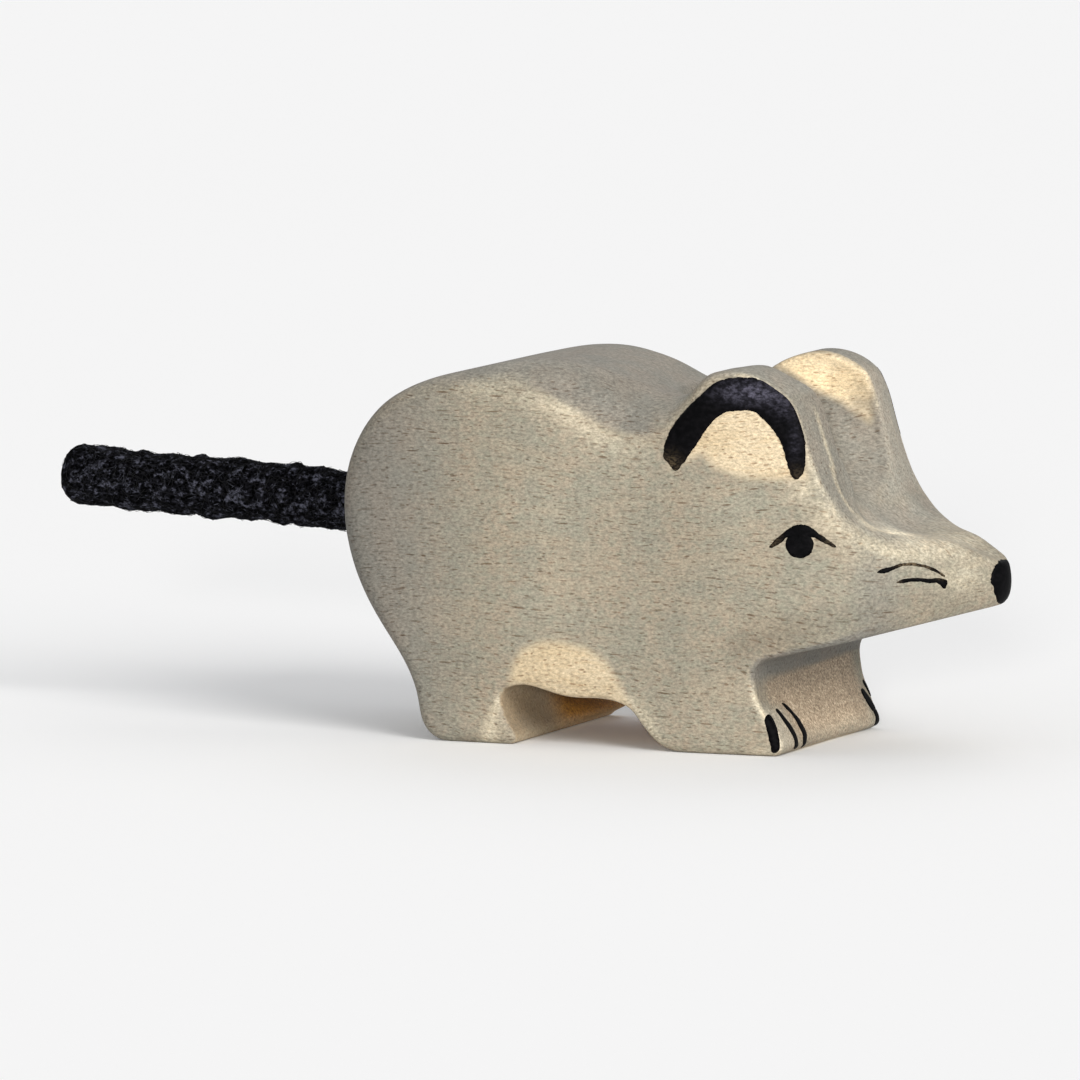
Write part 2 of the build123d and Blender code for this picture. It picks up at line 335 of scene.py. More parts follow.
def polygon_field(loop, px, py):
    """Signed distance to a closed loop, and the loop's third column at the nearest place."""
    a, b = loop, np.roll(loop, -1, axis=0)
    e = b[:, :2] - a[:, :2]
    l2 = np.maximum((e ** 2).sum(1), 1e-12)
    dist, near, inside = np.empty(px.size), np.zeros(px.size), np.empty(px.size, bool)
    flat_x, flat_y = px.ravel(), py.ravel()
    for i in range(0, px.size, 3000):
        x, y = flat_x[i:i + 3000, None], flat_y[i:i + 3000, None]
        t = np.clip(((x - a[:, 0]) * e[:, 0] + (y - a[:, 1]) * e[:, 1]) / l2, 0, 1)
        d2 = (x - a[:, 0] - t * e[:, 0]) ** 2 + (y - a[:, 1] - t * e[:, 1]) ** 2
        k = d2.argmin(1)
        rows = np.arange(len(k))
        dist[i:i + 3000] = np.sqrt(d2[rows, k])
        if loop.shape[1] > 2:
            near[i:i + 3000] = a[k, 2] + t[rows, k] * (b[k, 2] - a[k, 2])
        cross = (a[:, 1] > y) != (b[:, 1] > y)
        at = a[:, 0] + (y - a[:, 1]) * e[:, 0] / np.where(e[:, 1] == 0, 1e-12, e[:, 1])
        inside[i:i + 3000] = (cross & (x < at)).sum(1) % 2 == 1
    return np.where(inside, -dist, dist).reshape(px.shape), near.reshape(px.shape)


class Table:
    """A field on a regular grid, read between its points."""

    def __init__(self, x0, y0, step, values):
        self.x0, self.y0, self.step, self.v = x0, y0, step, values

    def __call__(self, x, y):
        u = np.clip((x - self.x0) / self.step, 0, self.v.shape[0] - 1.001)
        w = np.clip((y - self.y0) / self.step, 0, self.v.shape[1] - 1.001)
        i, j = u.astype(int), w.astype(int)
        u, w = u - i, w - j
        v = self.v
        return ((v[i, j] * (1 - u) + v[i + 1, j] * u) * (1 - w) + (v[i, j + 1] * (1 - u) + v[i + 1, j + 1] * u) * w)


def blurred(v, k):
    for axis in (0, 1):
        pad = [(0, 0), (0, 0)]
        pad[axis] = (k, k)
        c = np.cumsum(np.pad(v, pad, mode="edge"), axis=axis)
        c = np.concatenate([np.zeros_like(np.take(c, [0], axis)), c], axis=axis)
        n = v.shape[axis]
        v = (np.take(c, range(2 * k + 1, 2 * k + 1 + n), axis) - np.take(c, range(0, n), axis)) / (2 * k + 1)
    return v


STEP2 = 0.2
gx, gz = np.meshgrid(np.arange(-15.0, 46.0, STEP2), np.arange(-2.0, 35.0, STEP2), indexing="ij")
side_d, side_r = polygon_field(OUTLINE, gx, gz)
SIDE = Table(-15.0, -2.0, STEP2, side_d)
EDGE = Table(-15.0, -2.0, STEP2, blurred(blurred(side_r, 3), 3))
gx, gy = np.meshgrid(np.arange(-15.0, 46.0, STEP2), np.arange(0.0, 14.0, STEP2), indexing="ij")
TOP = Table(-15.0, 0.0, STEP2, polygon_field(PLAN_LOOP, gx, gy)[0])


def rmax(a, b, r):
    """Intersection of two fields with an edge rounded to the radius r."""
    return np.minimum(np.maximum(a, b), -r) + np.hypot(np.maximum(a + r, 0), np.maximum(b + r, 0))


def shell(a, b, r, d):
    """The sawn and sanded block: side outline, plan outline, rounded edges and the ears' facets."""
    return rmax(rmax(a, b, r), (a + d) * FACET_COS + b * FACET_SIN, 0.25)


def groove_field(x, y, z):
    """The channel between the ears: round bottomed, falling to the nose, running out upwards at the neck."""
    c = math.cos(math.radians(20.8))
    floor = 20.0 + (32.0 - x) * GROOVE_TAN + 0.17 * np.maximum(0.0, 18.6 - x) ** 2
    v = (z - floor) * c - GROOVE_R
    return np.where(v < 0, np.hypot(y, v), np.abs(y)) - GROOVE_R


def hole_field(x, y, z):
    px, pz = x - TAIL_ROOT[0], z - TAIL_ROOT[2]
    s = px * TAIL_DIR[0] + pz * TAIL_DIR[2]
    q = np.hypot(y, -px * TAIL_DIR[2] + pz * TAIL_DIR[0])
    return np.maximum(q - HOLE_R, -(s + 4.5))


def lean(x, y, z):
    """Where the side outline is read: the two sides of the hand-sanded block differ a little at the notch, the feet and the ears."""
    front = soft(x, 19.0, 23.0) * soft(34.0 - x, 0.0, 6.0)
    xs = x + (0.22 - 0.0457 * y) * front * soft(10.5 - z, 0.0, 2.0) * soft(z, 2.2, 5.2)
    xs = xs - 0.33 * front * soft(y, 1.0, 10.0) * soft(5.0 - z, 0.0, 2.4)
    xs = xs + 0.33 * soft(y, -2.0, 8.0) * soft(x, 24.5, 27.0) * soft(z, 19.5, 22.5) * soft(31.6 - z, 0.0, 2.0)
    xs = xs - 1.3 * soft(y, -5.0, 10.0) * soft(z, 0.25, 1.1) * soft(5.0 - z, 0.0, 1.2) * soft(x, -1.0, 1.5) * (1 - soft(x, 6.0, 9.0))
    zs = z + soft(-y, 1.0, 7.0) * soft(z, 27.0, 30.0) * (0.46 * np.exp(-((x - 26.4) / 2.2) ** 2) - 0.30 * np.exp(-((x - 20.2) / 1.4) ** 2))
    return xs, zs


def groove_edge(x, y, z):
    return 0.5 + (2.6 + 1.3 * soft(-y, 0.5, 3.0)) * soft(23.0 - z, 0.0, 4.0) * soft(37.5 - x, 0.0, 4.5)


def body_field(x, y, z):
    xs, zs = lean(x, y, z)
    f = shell(SIDE(xs, zs), TOP(x, np.abs(y)), EDGE(xs, zs), facet(x, z))
    f = rmax(f, -groove_field(x, y, z), groove_edge(x, y, z))
    return rmax(f, -hole_field(x, y, z), 0.3)


def body_at(p):
    return body_field(p[:, 0], p[:, 1], p[:, 2])


def slope(field, p, e=0.06):
    g = np.empty_like(p)
    for k in range(3):
        d = np.zeros(3)
        d[k] = e
        g[:, k] = (field(p + d) - field(p - d)) / (2 * e)
    return g


def unit(v):
    return v / np.maximum(np.linalg.norm(v, axis=1, keepdims=True), 1e-12)


def surface_net(field3, origin, step):
    """Quads around every change of sign in a block of field values."""
    neg = field3 < 0
    nx, ny, nz = field3.shape
    corner = [(i, j, k) for i in (0, 1) for j in (0, 1) for k in (0, 1)]

    def part(arr, c):
        return arr[c[0]:nx - 1 + c[0], c[1]:ny - 1 + c[1], c[2]:nz - 1 + c[2]]

    count = sum(part(neg, c).astype(np.int8) for c in corner)
    live = (count > 0) & (count < 8)
    cells = np.argwhere(live)
    ids = np.full(live.shape, -1)
    ids[tuple(cells.T)] = np.arange(len(cells))
    total, hits = np.zeros((len(cells), 3)), np.zeros(len(cells))
    val = {c: part(field3, c)[live] for c in corner}
    for a in corner:
        for axis in range(3):
            if a[axis]:
                continue
            b = tuple(1 if i == axis else a[i] for i in range(3))
            va, vb = val[a], val[b]
            m = (va < 0) != (vb < 0)
            t = va[m] / (va[m] - vb[m])
            p = np.tile(np.array(a, float), (m.sum(), 1))
            p[:, axis] += t
            total[m] += p
            hits[m] += 1
    verts = origin + (cells + total / hits[:, None]) * step
    faces = []
    for axis, (u, v) in enumerate(((1, 2), (2, 0), (0, 1))):
        lo, hi = [slice(None)] * 3, [slice(None)] * 3
        lo[axis], hi[axis] = slice(0, -1), slice(1, None)
        change = neg[tuple(lo)] != neg[tuple(hi)]
        where = np.argwhere(change)
        ok = (where[:, u] > 0) & (where[:, v] > 0) & (where[:, u] < field3.shape[u] - 1) & (where[:, v] < field3.shape[v] - 1)
        where = where[ok]
        quad = []
        for du, dv in ((1, 1), (0, 1), (0, 0), (1, 0)):
            c = where.copy()
            c[:, u] -= du
            c[:, v] -= dv
            quad.append(ids[tuple(c.T)])
        quad = np.array(quad).T
        flip = ~neg[tuple(lo)][change][ok]
        quad[flip] = quad[flip][:, ::-1]
        faces.append(quad)
    return verts, np.vstack(faces)


def make_object(name, verts, faces, materials, smooth=True):
    me = bpy.data.meshes.new(name)
    me.from_pydata((np.asarray(verts) * MM).tolist(), [], [list(map(int, f)) for f in faces])
    me.update()
    if smooth:
        me.polygons.foreach_set("use_smooth", np.ones(len(me.polygons), bool))
    ob = bpy.data.objects.new(name, me)
    scene.collection.objects.link(ob)
    for m in materials:
        me.materials.append(m)
    return ob


def set_attribute(ob, name, values):
    at = ob.data.attributes.new(name, "FLOAT", "POINT")
    at.data.foreach_set("value", np.asarray(values, np.float32))


CELL = 0.30
lo = np.array([-13.7, -12.15, -0.75])
size = np.ceil((np.array([43.9, 12.15, 33.4]) - lo) / CELL).astype(int) + 1
ax, ay, az = (lo[i] + CELL * np.arange(size[i]) for i in range(3))
block = body_field(*np.meshgrid(ax, ay, az, indexing="ij"))
wood_v, wood_f = surface_net(block, lo, CELL)
for _ in range(3):
    g = slope(body_at, wood_v)
    wood_v = wood_v - (body_at(wood_v) / np.maximum((g ** 2).sum(1), 0.25))[:, None] * g
wood_n = unit(slope(body_at, wood_v))


# =================================================================================================
# stain, bare patches, pale sanded wood and tone, with painted shade and painted highlights in places, painted on the
# body's points
# =================================================================================================
EAR = [(16.66, 24.87), (16.8, 26.2), (17.44, 27.64), (18.6, 28.95), (19.93, 30.08), (21.13, 31.1), (22.43, 31.55), (23.73, 31.66),
       (24.68, 31.6), (25.64, 31.28), (26.85, 30.78), (28.14, 30.02), (28.58, 28.62), (28.82, 27.51), (29.1, 26.05), (29.1, 24.57), (28.85, 23.81),
       (28.37, 23.43), (27.98, 23.87), (27.64, 24.83), (27.3, 26.02), (26.85, 26.9), (26.1, 27.84), (25.46, 28.4), (24.84, 28.9),
       (24.06, 29.06), (23.21, 28.98), (22.17, 28.84), (21.2, 28.24), (20.61, 27.61), (20.03, 26.84), (19.54, 26.07), (19.06, 25.45),
       (18.43, 24.54), (17.91, 23.94), (17.55, 23.78), (17.16, 24.29)]


def region(points, x, z):
    return polygon_field(np.array(points, float), x, z)[0]


def path_gap(points, v):
    """Distance of every point to a line through points in space."""
    gap = np.full(len(v), 1e9)
    for a, b in zip(points[:-1], points[1:]):
        a, b = np.array(a), np.array(b)
        t = np.clip((v - a) @ (b - a) / ((b - a) @ (b - a)), 0, 1)
        gap = np.minimum(gap, np.linalg.norm(v - a - t[:, None] * (b - a), axis=1))
    return gap


EAR_CREST = [(30.44, -8.59, 24.28), (30.81, -8.61, 23.17), (31.12, -8.49, 22.29), (31.52, -7.99, 21.25), (32.05, -7.53, 20.39)]


def body_paint(v, n):
    """Amounts on the body's points: grey stain, pale sanded wood with painted highlights, tan end grain, red-brown
    painted shade in the arch, cooler grey, and a tone that also carries painted shade and light.
    """
    x, y, z = v.T
    ay_ = np.abs(y)
    up = n[:, 2]
    out = n[:, 1] * np.sign(y)                        # + on the flanks, - on the inner faces of the ears
    flank = soft(out, 0.35, 0.75)
    xs, zs = lean(x, y, z)
    a, b, r, d = SIDE(xs, zs), TOP(x, ay_), EDGE(xs, zs), facet(x, z)
    edge = np.clip(1 - np.abs(a - b) / np.maximum(0.8 * r, 0.55), 0, 1) * soft(out, -0.1, 0.1)
    rim = shell(a, b, r, d) + groove_field(x, y, z)
    wall = np.clip(1 - np.abs(rim) / 0.26, 0, 1) * soft(x, 21.0, 24.0) * soft(z, 26.6, 28.2) * soft(-out, 0.05, 0.4)
    faceted = soft(d, 0.12, 0.4)
    fold = np.clip(1 - np.abs(b + d * FACET_COS / FACET_SIN) / 0.36, 0, 1) * soft(a, -0.7, -0.3) * faceted * soft(29.6 - z, 0.0, 1.6)
    fold = fold * (0.15 + 0.85 * soft(-y, 0.0, 1.0)) * soft(z, 22.8, 24.2)
    verge = np.clip(1 - np.abs(a + d + 0.05) / 0.45, 0, 1) * soft(b, -0.6, -0.2) * faceted

    # bare wood: inside the painted arc of each ear, on the ears' inner faces, above the arch
    stain = np.ones(len(v))
    ear = region([(16.9, 23.6), (18.2, 26.3), (20.5, 29.6), (23.9, 30.8), (27.2, 29.6), (28.9, 26.5), (29.6, 23.2),
                  (28.2, 23.1), (26.2, 23.0), (23.4, 23.1), (21.0, 24.0), (20.0, 25.0)], x, z)
    low = soft(z + 0.04 * (x - 24), 22.2, 24.2)
    bare_ear = (1 - soft(ear, -0.9, 0.35)) * (0.3 + 0.7 * low) * flank * soft(ay_, 8.0, 10.0)
    stain -= bare_ear
    line_z = np.interp(x, [19.4, 21.1, 23.0, 25.8, 26.9, 28.4], [31.2, 30.5, 29.3, 28.1, 27.3, 26.4])
    dim = soft(x, 25.6, 27.2) * soft(29.2 - z, 0.0, 1.2)
    inner = (1 - 0.35 * dim) * soft(z - line_z, -0.5, 0.7) * soft(-out, 0.2, 0.6) * soft(28.7 - x, -0.4, 0.7) * soft(ay_, 4.6, 5.6)
    stain -= inner * (1 - 0.75 * wall)
    belly = region([(2.4, 3.4), (2.55, 4.8), (2.95, 6.6), (3.8, 8.15), (5.5, 8.85), (7.3, 8.9), (9.7, 8.5), (11.5, 7.4), (12.55, 5.9),
                    (13.2, 4.5), (13.8, 3.5), (13.8, 2.5)], x, z)
    bare_belly = (1 - soft(belly, -0.75, 0.45)) * flank
    stain -= 0.97 * bare_belly
    under = soft(-up, 0.80, 0.97) * soft(6.5 - z, 0.0, 0.8) * soft(9.3 - ay_, 0.0, 3.4)
    arch_in = (1 - soft(np.abs(x - 9.0), 7.4, 8.6)) * soft(6.2 - z, 0.0, 0.6) * soft(0.6 - np.abs(out), 0.0, 0.25)
    hidden = soft(y + 0.5 * (x - 2.5), -3.4, 1.6)                      # further from the light, towards the arch's far side, the stain ends and the bare wood gets a red-brown painted shade
    stain -= np.maximum(0.9 * under, arch_in * (0.25 + 0.65 * hidden))
    stain = np.clip(stain, 0.0, 1.0)

    # pale where the sanding went through: ear rims and the feet's edges; partly painted highlight on the stripe below
    # the back and the ridges beside the snout, and painted highlight along the arch's edge
    pale = np.maximum(0.85 * wall, np.maximum(1.0 * fold, 0.7 * verge))
    fringe = edge * soft(x, 24.0, 27.0) * soft(33.5 - x, 0.0, 2.5) * soft(z, 17.5, 20.0) * (1 - faceted)
    pale = np.maximum(pale, 0.8 * fringe)
    # partly painted highlight, partly sanded wood: a light stripe on the flanks below the back's edge
    near_band = np.interp(x, [-9.0, -3.0, 3.0, 5.0, 7.0, 10.0, 12.0, 14.5, 16.5], [0.0, 0.15, 0.35, 0.7, 1.0, 1.0, 0.7, 0.35, 0.0])
    band_z = np.interp(x, [-9.0, 2.0, 4.0, 6.0, 7.5, 9.0, 11.0, 13.0, 15.0, 17.0], [28.0, 30.2, 29.7, 29.0, 28.25, 27.4, 26.5, 25.9, 25.8, 26.3])
    off = z - band_z
    band_highlight = np.exp(-np.where(off > 0, off / 0.45, off / 1.45) ** 2) * near_band * soft(out, 0.1, 0.4)
    pale = np.maximum(pale, 0.36 * band_highlight)
    # the ridges beside the snout: sanded wood, partly painted highlight
    ridge = np.clip(1 - np.abs(a - b + 0.8) / 2.5, 0, 1) ** 1.2 * soft(x, 28.0, 31.5) * soft(41.0 - x, 0.0, 4.0) * soft(z, 15.2, 17.0)
    pale = np.maximum(pale, 0.58 * ridge * soft(out, -0.05, 0.15) * (1 - faceted))
    toes = edge * soft(6.7 - z, 0.0, 0.6) * soft(xs, 23.5, 24.8) * (0.45 + 0.55 * soft(z, 0.4, 1.4))
    pale = np.maximum(pale, 0.95 * toes)
    heel_x = np.interp(z, [0.0, 0.8, 2.0, 3.9], [0.9, 0.95, 1.15, 1.75])
    heel = np.exp(-((x - heel_x) / np.interp(z, [0.0, 2.0, 3.9], [0.8, 0.65, 0.35])) ** 2) * flank * soft(4.6 - z, 0.0, 0.8)
    pale = np.maximum(pale, 0.62 * heel)
    pale = np.maximum(pale, 0.30 * edge * soft(-x, 0.0, 6.0) * soft(z, 18.0, 26.0))
    shoulder = np.exp(-((x - 0.2) / 3.2) ** 2) * soft(up, 0.12, 0.38) * (1 - soft(up, 0.62, 0.85)) * soft(z, 24.0, 27.0)
    pale = np.maximum(pale, 0.30 * shoulder)
    snout = soft(x, 33.0, 38.0) * soft(up, 0.2, 0.65)
    pale = np.maximum(pale, 0.62 * snout)
    saddle = sum(np.exp(-(((x - q[0]) / 1.5) ** 2 + ((ay_ - q[1]) / 1.6) ** 2 + ((z - q[2]) / 1.1) ** 2))
                 for q in ((33.0, 7.0, 19.2), (33.9, 5.0, 18.7), (34.4, 3.2, 18.4), (34.7, 1.9, 18.1), (35.8, 4.5, 18.0)))
    saddle = np.clip(saddle, 0, 1) * (1 - soft(y, -2.0, 1.0))
    pale = np.maximum(pale, 0.6 * saddle)
    crest = np.clip(1 - path_gap(EAR_CREST, v) / 0.36, 0, 1)
    pale = np.maximum(pale, crest)
    # painted highlight: the brightest spot of that stripe
    band_highlight_spot = np.exp(-((x - 7.9) / 2.6) ** 2 - ((z - 28.3 + 0.27 * (x - 7.9)) / 0.65) ** 2) * soft(out, 0.1, 0.4)
    pale = np.maximum(pale, 0.5 * band_highlight_spot)
    corner = np.exp(-((a + 0.4) / 0.8) ** 2) * flank * soft(x, 12.0, 13.4) * soft(17.5 - x, 0.0, 2.0) * soft(6.5 - z, 0.0, 1.0)
    pale = np.maximum(pale, 0.4 * corner)
    # painted highlight: a thin light line along the arch's edge
    lip_highlight = edge ** 2 * soft(x, 3.0, 4.5) * soft(15.5 - x, 0.0, 2.0) * soft(6.0 - z, 0.0, 0.8)
    pale = np.maximum(pale, 0.4 * lip_highlight)
    muzzle = np.exp(-(((x - 40.5) / 1.6) ** 2 + ((z - 14.7) / 1.3) ** 2)) * soft(out, 0.3, 0.6)
    pale = np.maximum(pale, 0.55 * muzzle)
    beside = region(EAR, x, z)
    pale = np.maximum(pale, 0.36 * flank * np.clip(1 - np.abs(beside - 0.3) / 0.4, 0, 1) * soft(23.0 - x, 0.0, 2.0) * soft(z + x, 42.5, 44.0))
    pale = np.maximum(pale, 0.55 * flank * np.exp(-(((x - 28.9) / 1.2) ** 2 + ((z - 22.6) / 1.0) ** 2)))

    # tan end grain on the chest and the feet's fronts
    front = soft(n[:, 0], 0.45, 0.8) * soft(9.2 - z, 0.0, 1.0) * soft(xs, 24.0, 25.2)
    tan = front * (1 - 0.7 * soft(2.2 - z, 0.0, 1.8)) * soft(10.6 - ay_, 0.0, 2.6)

    corner_foot = front * soft(-y, 6.2, 8.4) * soft(4.6 - z, 0.0, 1.2) * soft(z, 0.2, 1.2)
    tan *= 1 - 0.85 * corner_foot
    pale = np.maximum(pale, 0.3 * corner_foot)

    # tone: lighter and darker areas, some of them painted shade and painted light as noted below
    tone = np.ones(len(v))
    tone *= 1 + 0.16 * corner_foot
    along = np.interp(x, [-13.0, -11.5, -9.5, -7.0, -4.5, -1.0, 3.0, 7.0, 11.0, 14.0, 18.0, 22.0, 27.0, 32.0, 40.0],
                      [0.54, 0.58, 0.63, 0.72, 0.82, 0.94, 1.03, 1.11, 1.08, 1.05, 1.01, 1.08, 1.14, 1.08, 1.05])
    tone *= 1 + (along - 1) * np.maximum(flank, soft(-n[:, 0], 0.2, 0.6))
    top = soft(off, 0.3, 1.2) * soft(x, 0.5, 6.0) + soft(up, 0.30, 0.85) * (1 - soft(x, 0.5, 6.0))
    top = top * soft(16.8 - x, 0.0, 2.5) * soft(z, 24.0, 27.0)
    tone *= 1 - (0.09 + 0.09 * soft(x, 0.5, 6.0) + 0.05 * soft(x, 6.0, 9.0) * soft(15.5 - x, 0.0, 2.0) * soft(0.9 - up, 0.0, 0.2)) * top
    # painted highlight: lightens the stripe below the back and the arch's edge
    tone *= 1 + 0.12 * band_highlight_spot + 0.10 * corner + 0.05 * lip_highlight
    tone *= 1 + 0.22 * np.exp(-((x - 16.9) / 1.7) ** 2) * soft(z, 28.2, 29.4) * soft(up, 0.15, 0.45)
    tone *= 1 - 0.10 * np.exp(-((off - 1.15) / 0.7) ** 2) * soft(x, 4.0, 6.5) * soft(16.0 - x, 0.0, 2.0) * soft(out, 0.1, 0.4)
    # painted light: lightens the hollow where the groove between the ears runs out on the snout
    runout = sum(np.exp(-(((x - q[0]) / 1.4) ** 2 + ((y - q[1]) / 1.5) ** 2 + ((z - q[2]) / 0.9) ** 2))
                 for q in ((32.0, -2.6, 18.9), (33.1, -1.6, 18.4), (34.4, -1.6, 18.1)))
    tone *= 1 + 0.20 * np.clip(runout, 0, 1)
    tone *= 1 - 0.10 * np.exp(-((x - 39.9) / 1.6) ** 2 - ((z - 13.1) / 1.0) ** 2) * soft(out, 0.2, 0.5)
    tone *= 1 - 0.10 * np.exp(-((x - 2.0) / 0.5) ** 2 - ((z - 3.3) / 0.8) ** 2) * flank
    tone *= 1 + 0.14 * arch_in * np.exp(-((x - 2.0) / 1.4) ** 2 - ((y + 7.2) / 2.6) ** 2 - ((z - 4.1) / 1.0) ** 2)
    # painted shade: a dark strip just inside the near ear's crest
    tone *= 1 - 0.20 * np.clip(1 - path_gap([(q[0] + 0.15, q[1] + 0.5, q[2] - 0.1) for q in EAR_CREST], v) / 0.34, 0, 1)
    tone *= 1 - 0.32 * np.exp(-((x - 27.7) / 1.1) ** 2 - ((z - 29.5) / 0.9) ** 2) * soft(y, 4.0, 5.0) * soft(-out, 0.2, 0.5)
    tone *= 1 + 0.20 * soft(y, 5.5, 6.5) * soft(z, 31.1, 31.6) * soft(x, 24.0, 25.4) * soft(28.4 - x, 0.0, 1.0)
    tone *= 1 + flank * (0.12 * np.exp(-((x + 1.0) / 1.6) ** 2 - ((z - 2.5) / 1.3) ** 2) - 0.10 * np.exp(-((x + 0.3) / 2.0) ** 2) * soft(1.3 - z, 0.0, 0.8))
    tone *= 1 + 0.10 * flank * np.exp(-(((x - 13.0) / 4.0) ** 2 + ((z - 25.0) / 3.0) ** 2))
    tone *= 1 + 0.08 * flank * np.exp(-(((x - 23.5) / 3.0) ** 2 + ((z - 19.5) / 2.5) ** 2))
    tone *= 1 - 0.03 * flank * np.exp(-(((x + 1.0) / 4.0) ** 2 + ((z - 6.0) / 3.0) ** 2))
    tone *= 1 + 0.07 * flank * np.exp(-(((x - 5.2) / 3.0) ** 2 + ((z - 19.8) / 2.0) ** 2))
    tone *= 1 + 0.07 * flank * np.exp(-(((x - 5.7) / 2.4) ** 2 + ((z - 12.3) / 2.2) ** 2))
    tone *= 1 + 0.07 * flank * np.exp(-(((x - 23.5) / 4.0) ** 2 + ((z - 21.4) / 1.2) ** 2))
    tone *= 1 - 0.13 * np.exp(-(((x - 32.0) / 1.7) ** 2 + ((z - 18.1) / 1.4) ** 2)) * soft(out, 0.2, 0.5)
    tone *= 1 - (0.15 + 0.09 * soft(33.0 - x, 0.0, 5.0)) * soft(out, 0.2, 0.6) * soft(x, 20.5, 24.0) * np.exp(-((z - 9.7 - 0.265 * (x - 25.3)) / 1.6) ** 2)
    tone *= 1 - 0.28 * soft(x, 38.8, 41.2) * soft(up, 0.3, 0.7)
    tone *= 1 + 0.40 * saddle + 0.10 * heel + 0.17 * toes
    tone *= 1 - 0.14 * soft(y, 0.0, 2.5) * soft(x, 35.2, 37.0) * soft(up, 0.2, 0.5)
    tone *= 1 + 0.22 * soft(-y, 6.0, 7.5) * soft(up, 0.45, 0.8) * soft(z, 29.5, 30.8) * soft(x, 21.0, 23.5)
    tone *= 1 + 0.20 * soft(up, 0.80, 0.97) * soft(x, -2.0, 3.0) * soft(16.0 - x, 0.0, 3.0)
    tone *= 1 - 0.20 * front * soft(z, 3.8, 5.4) + 0.18 * front * soft(2.8 - z, 0.0, 1.5) * soft(y, -5.0, 1.0)
    tone *= 1 + 0.32 * soft(y, 3.4, 6.4) * soft(n[:, 0], 0.45, 0.7) * soft(z, 20.5, 22.5)
    tone *= 1 - 0.10 * bare_belly * soft(6.6 - z, 0.0, 1.6)
    tone *= 1 - 0.08 * flank * np.exp(-(((x - 35.5) / 5.0) ** 2 + ((z - 11.6) / 2.0) ** 2))
    # painted shadow: a dark band where the overhanging head shades the upper chest
    shadow_edge_z = np.interp(y, [-11.5, -9.5, -6.5, 1.6, 10.4], [5.4, 5.7, 6.1, 6.34, 6.73])
    chin_shadow = soft(z - shadow_edge_z, -0.22, 0.22) * soft(xs, 24.4, 25.0) * soft(37.5 - x, 0.0, 4.0) * soft(0.25 - up, 0.0, 0.3) * (1 - soft(out, 0.72, 0.93))
    tone *= 1 - 0.21 * chin_shadow
    tone *= 1 - 0.09 * front * soft(z, 2.4, 3.4)
    tone *= 1 - 0.10 * faceted * (1 - flank) * soft(a, -1.2, -0.6)
    tone *= 1 + 0.10 * flank * np.exp(-(((x - 20.5) / 3.5) ** 2 + ((z - 3.0) / 2.5) ** 2))
    # painted shade: darker higher up inside the arch, on the side nearer the light
    tone *= 1 - 0.22 * arch_in * (1 - hidden) * soft(z, 0.0, 1.4)
    tone *= 1 + arch_in * (0.10 * hidden * soft(x, 6.0, 8.5) + 0.07 * (1 - hidden) - 0.16 * hidden * soft(6.5 - x, 0.0, 1.5) * soft(z, 1.5, 3.0))
    tan *= 1 - chin_shadow
    pale *= 1 - chin_shadow
    tone *= 1 - 0.07 * flank * np.exp(-(((x - 27.0) / 3.0) ** 2 + ((z - 9.6) / 1.8) ** 2))
    between = soft(7.0 - ay_, 0, 1.2) * soft(up, 0.0, 0.4) * soft(x, 19, 23) * soft(36.0 - x, 0, 3.0) * soft(31.5 - z, 0, 3)
    tone *= 1 + 0.20 * between
    tone *= 1 - 0.33 * bare_belly
    tone *= 1 - 0.26 * bare_ear
    # lightens the ears' bare inner faces; the extra on their upright part is painted light evening it with the parts
    # that face up, less near the top
    tone *= 1 + inner * (0.16 + 0.26 * soft(-out, 0.72, 0.97) - 0.28 * soft(z, 30.2, 31.4)) * (1 - dim)
    valley = soft(-out, 0.2, 0.6) * (1 - inner) * soft(x, 18.0, 22.0)
    tone *= 1 - 0.12 * valley
    tone *= 1 + 0.10 * (1 - flank) * soft(x, 33.0, 37.0)
    # painted shade: how much of the red-brown shaded wood colour the inside of the arch gets
    brown = arch_in * (0.16 + 0.84 * hidden) * (0.35 + 0.65 * soft(z, 0.1, 1.5))
    cool = np.maximum(soft(-4.0 - x, -5.0, 7.0), np.maximum(0.9 * top, 0.75 * soft(up, 0.35, 0.8)))
    cool = np.maximum(cool, 0.7 * soft(n[:, 0], 0.5, 0.85) * soft(z, 17.0, 19.0))
    # the cool grey also tints the painted shadow on the upper chest
    cool = np.maximum(cool, np.maximum(chin_shadow, np.maximum(0.5 * toes, 0.7 * corner_foot)))
    cool = np.maximum(cool, 0.8 * valley)
    return dict(stain=stain, pale=pale, tan=tan, brown=brown, cool=cool, tone=tone)


paint = body_paint(wood_v, wood_n)


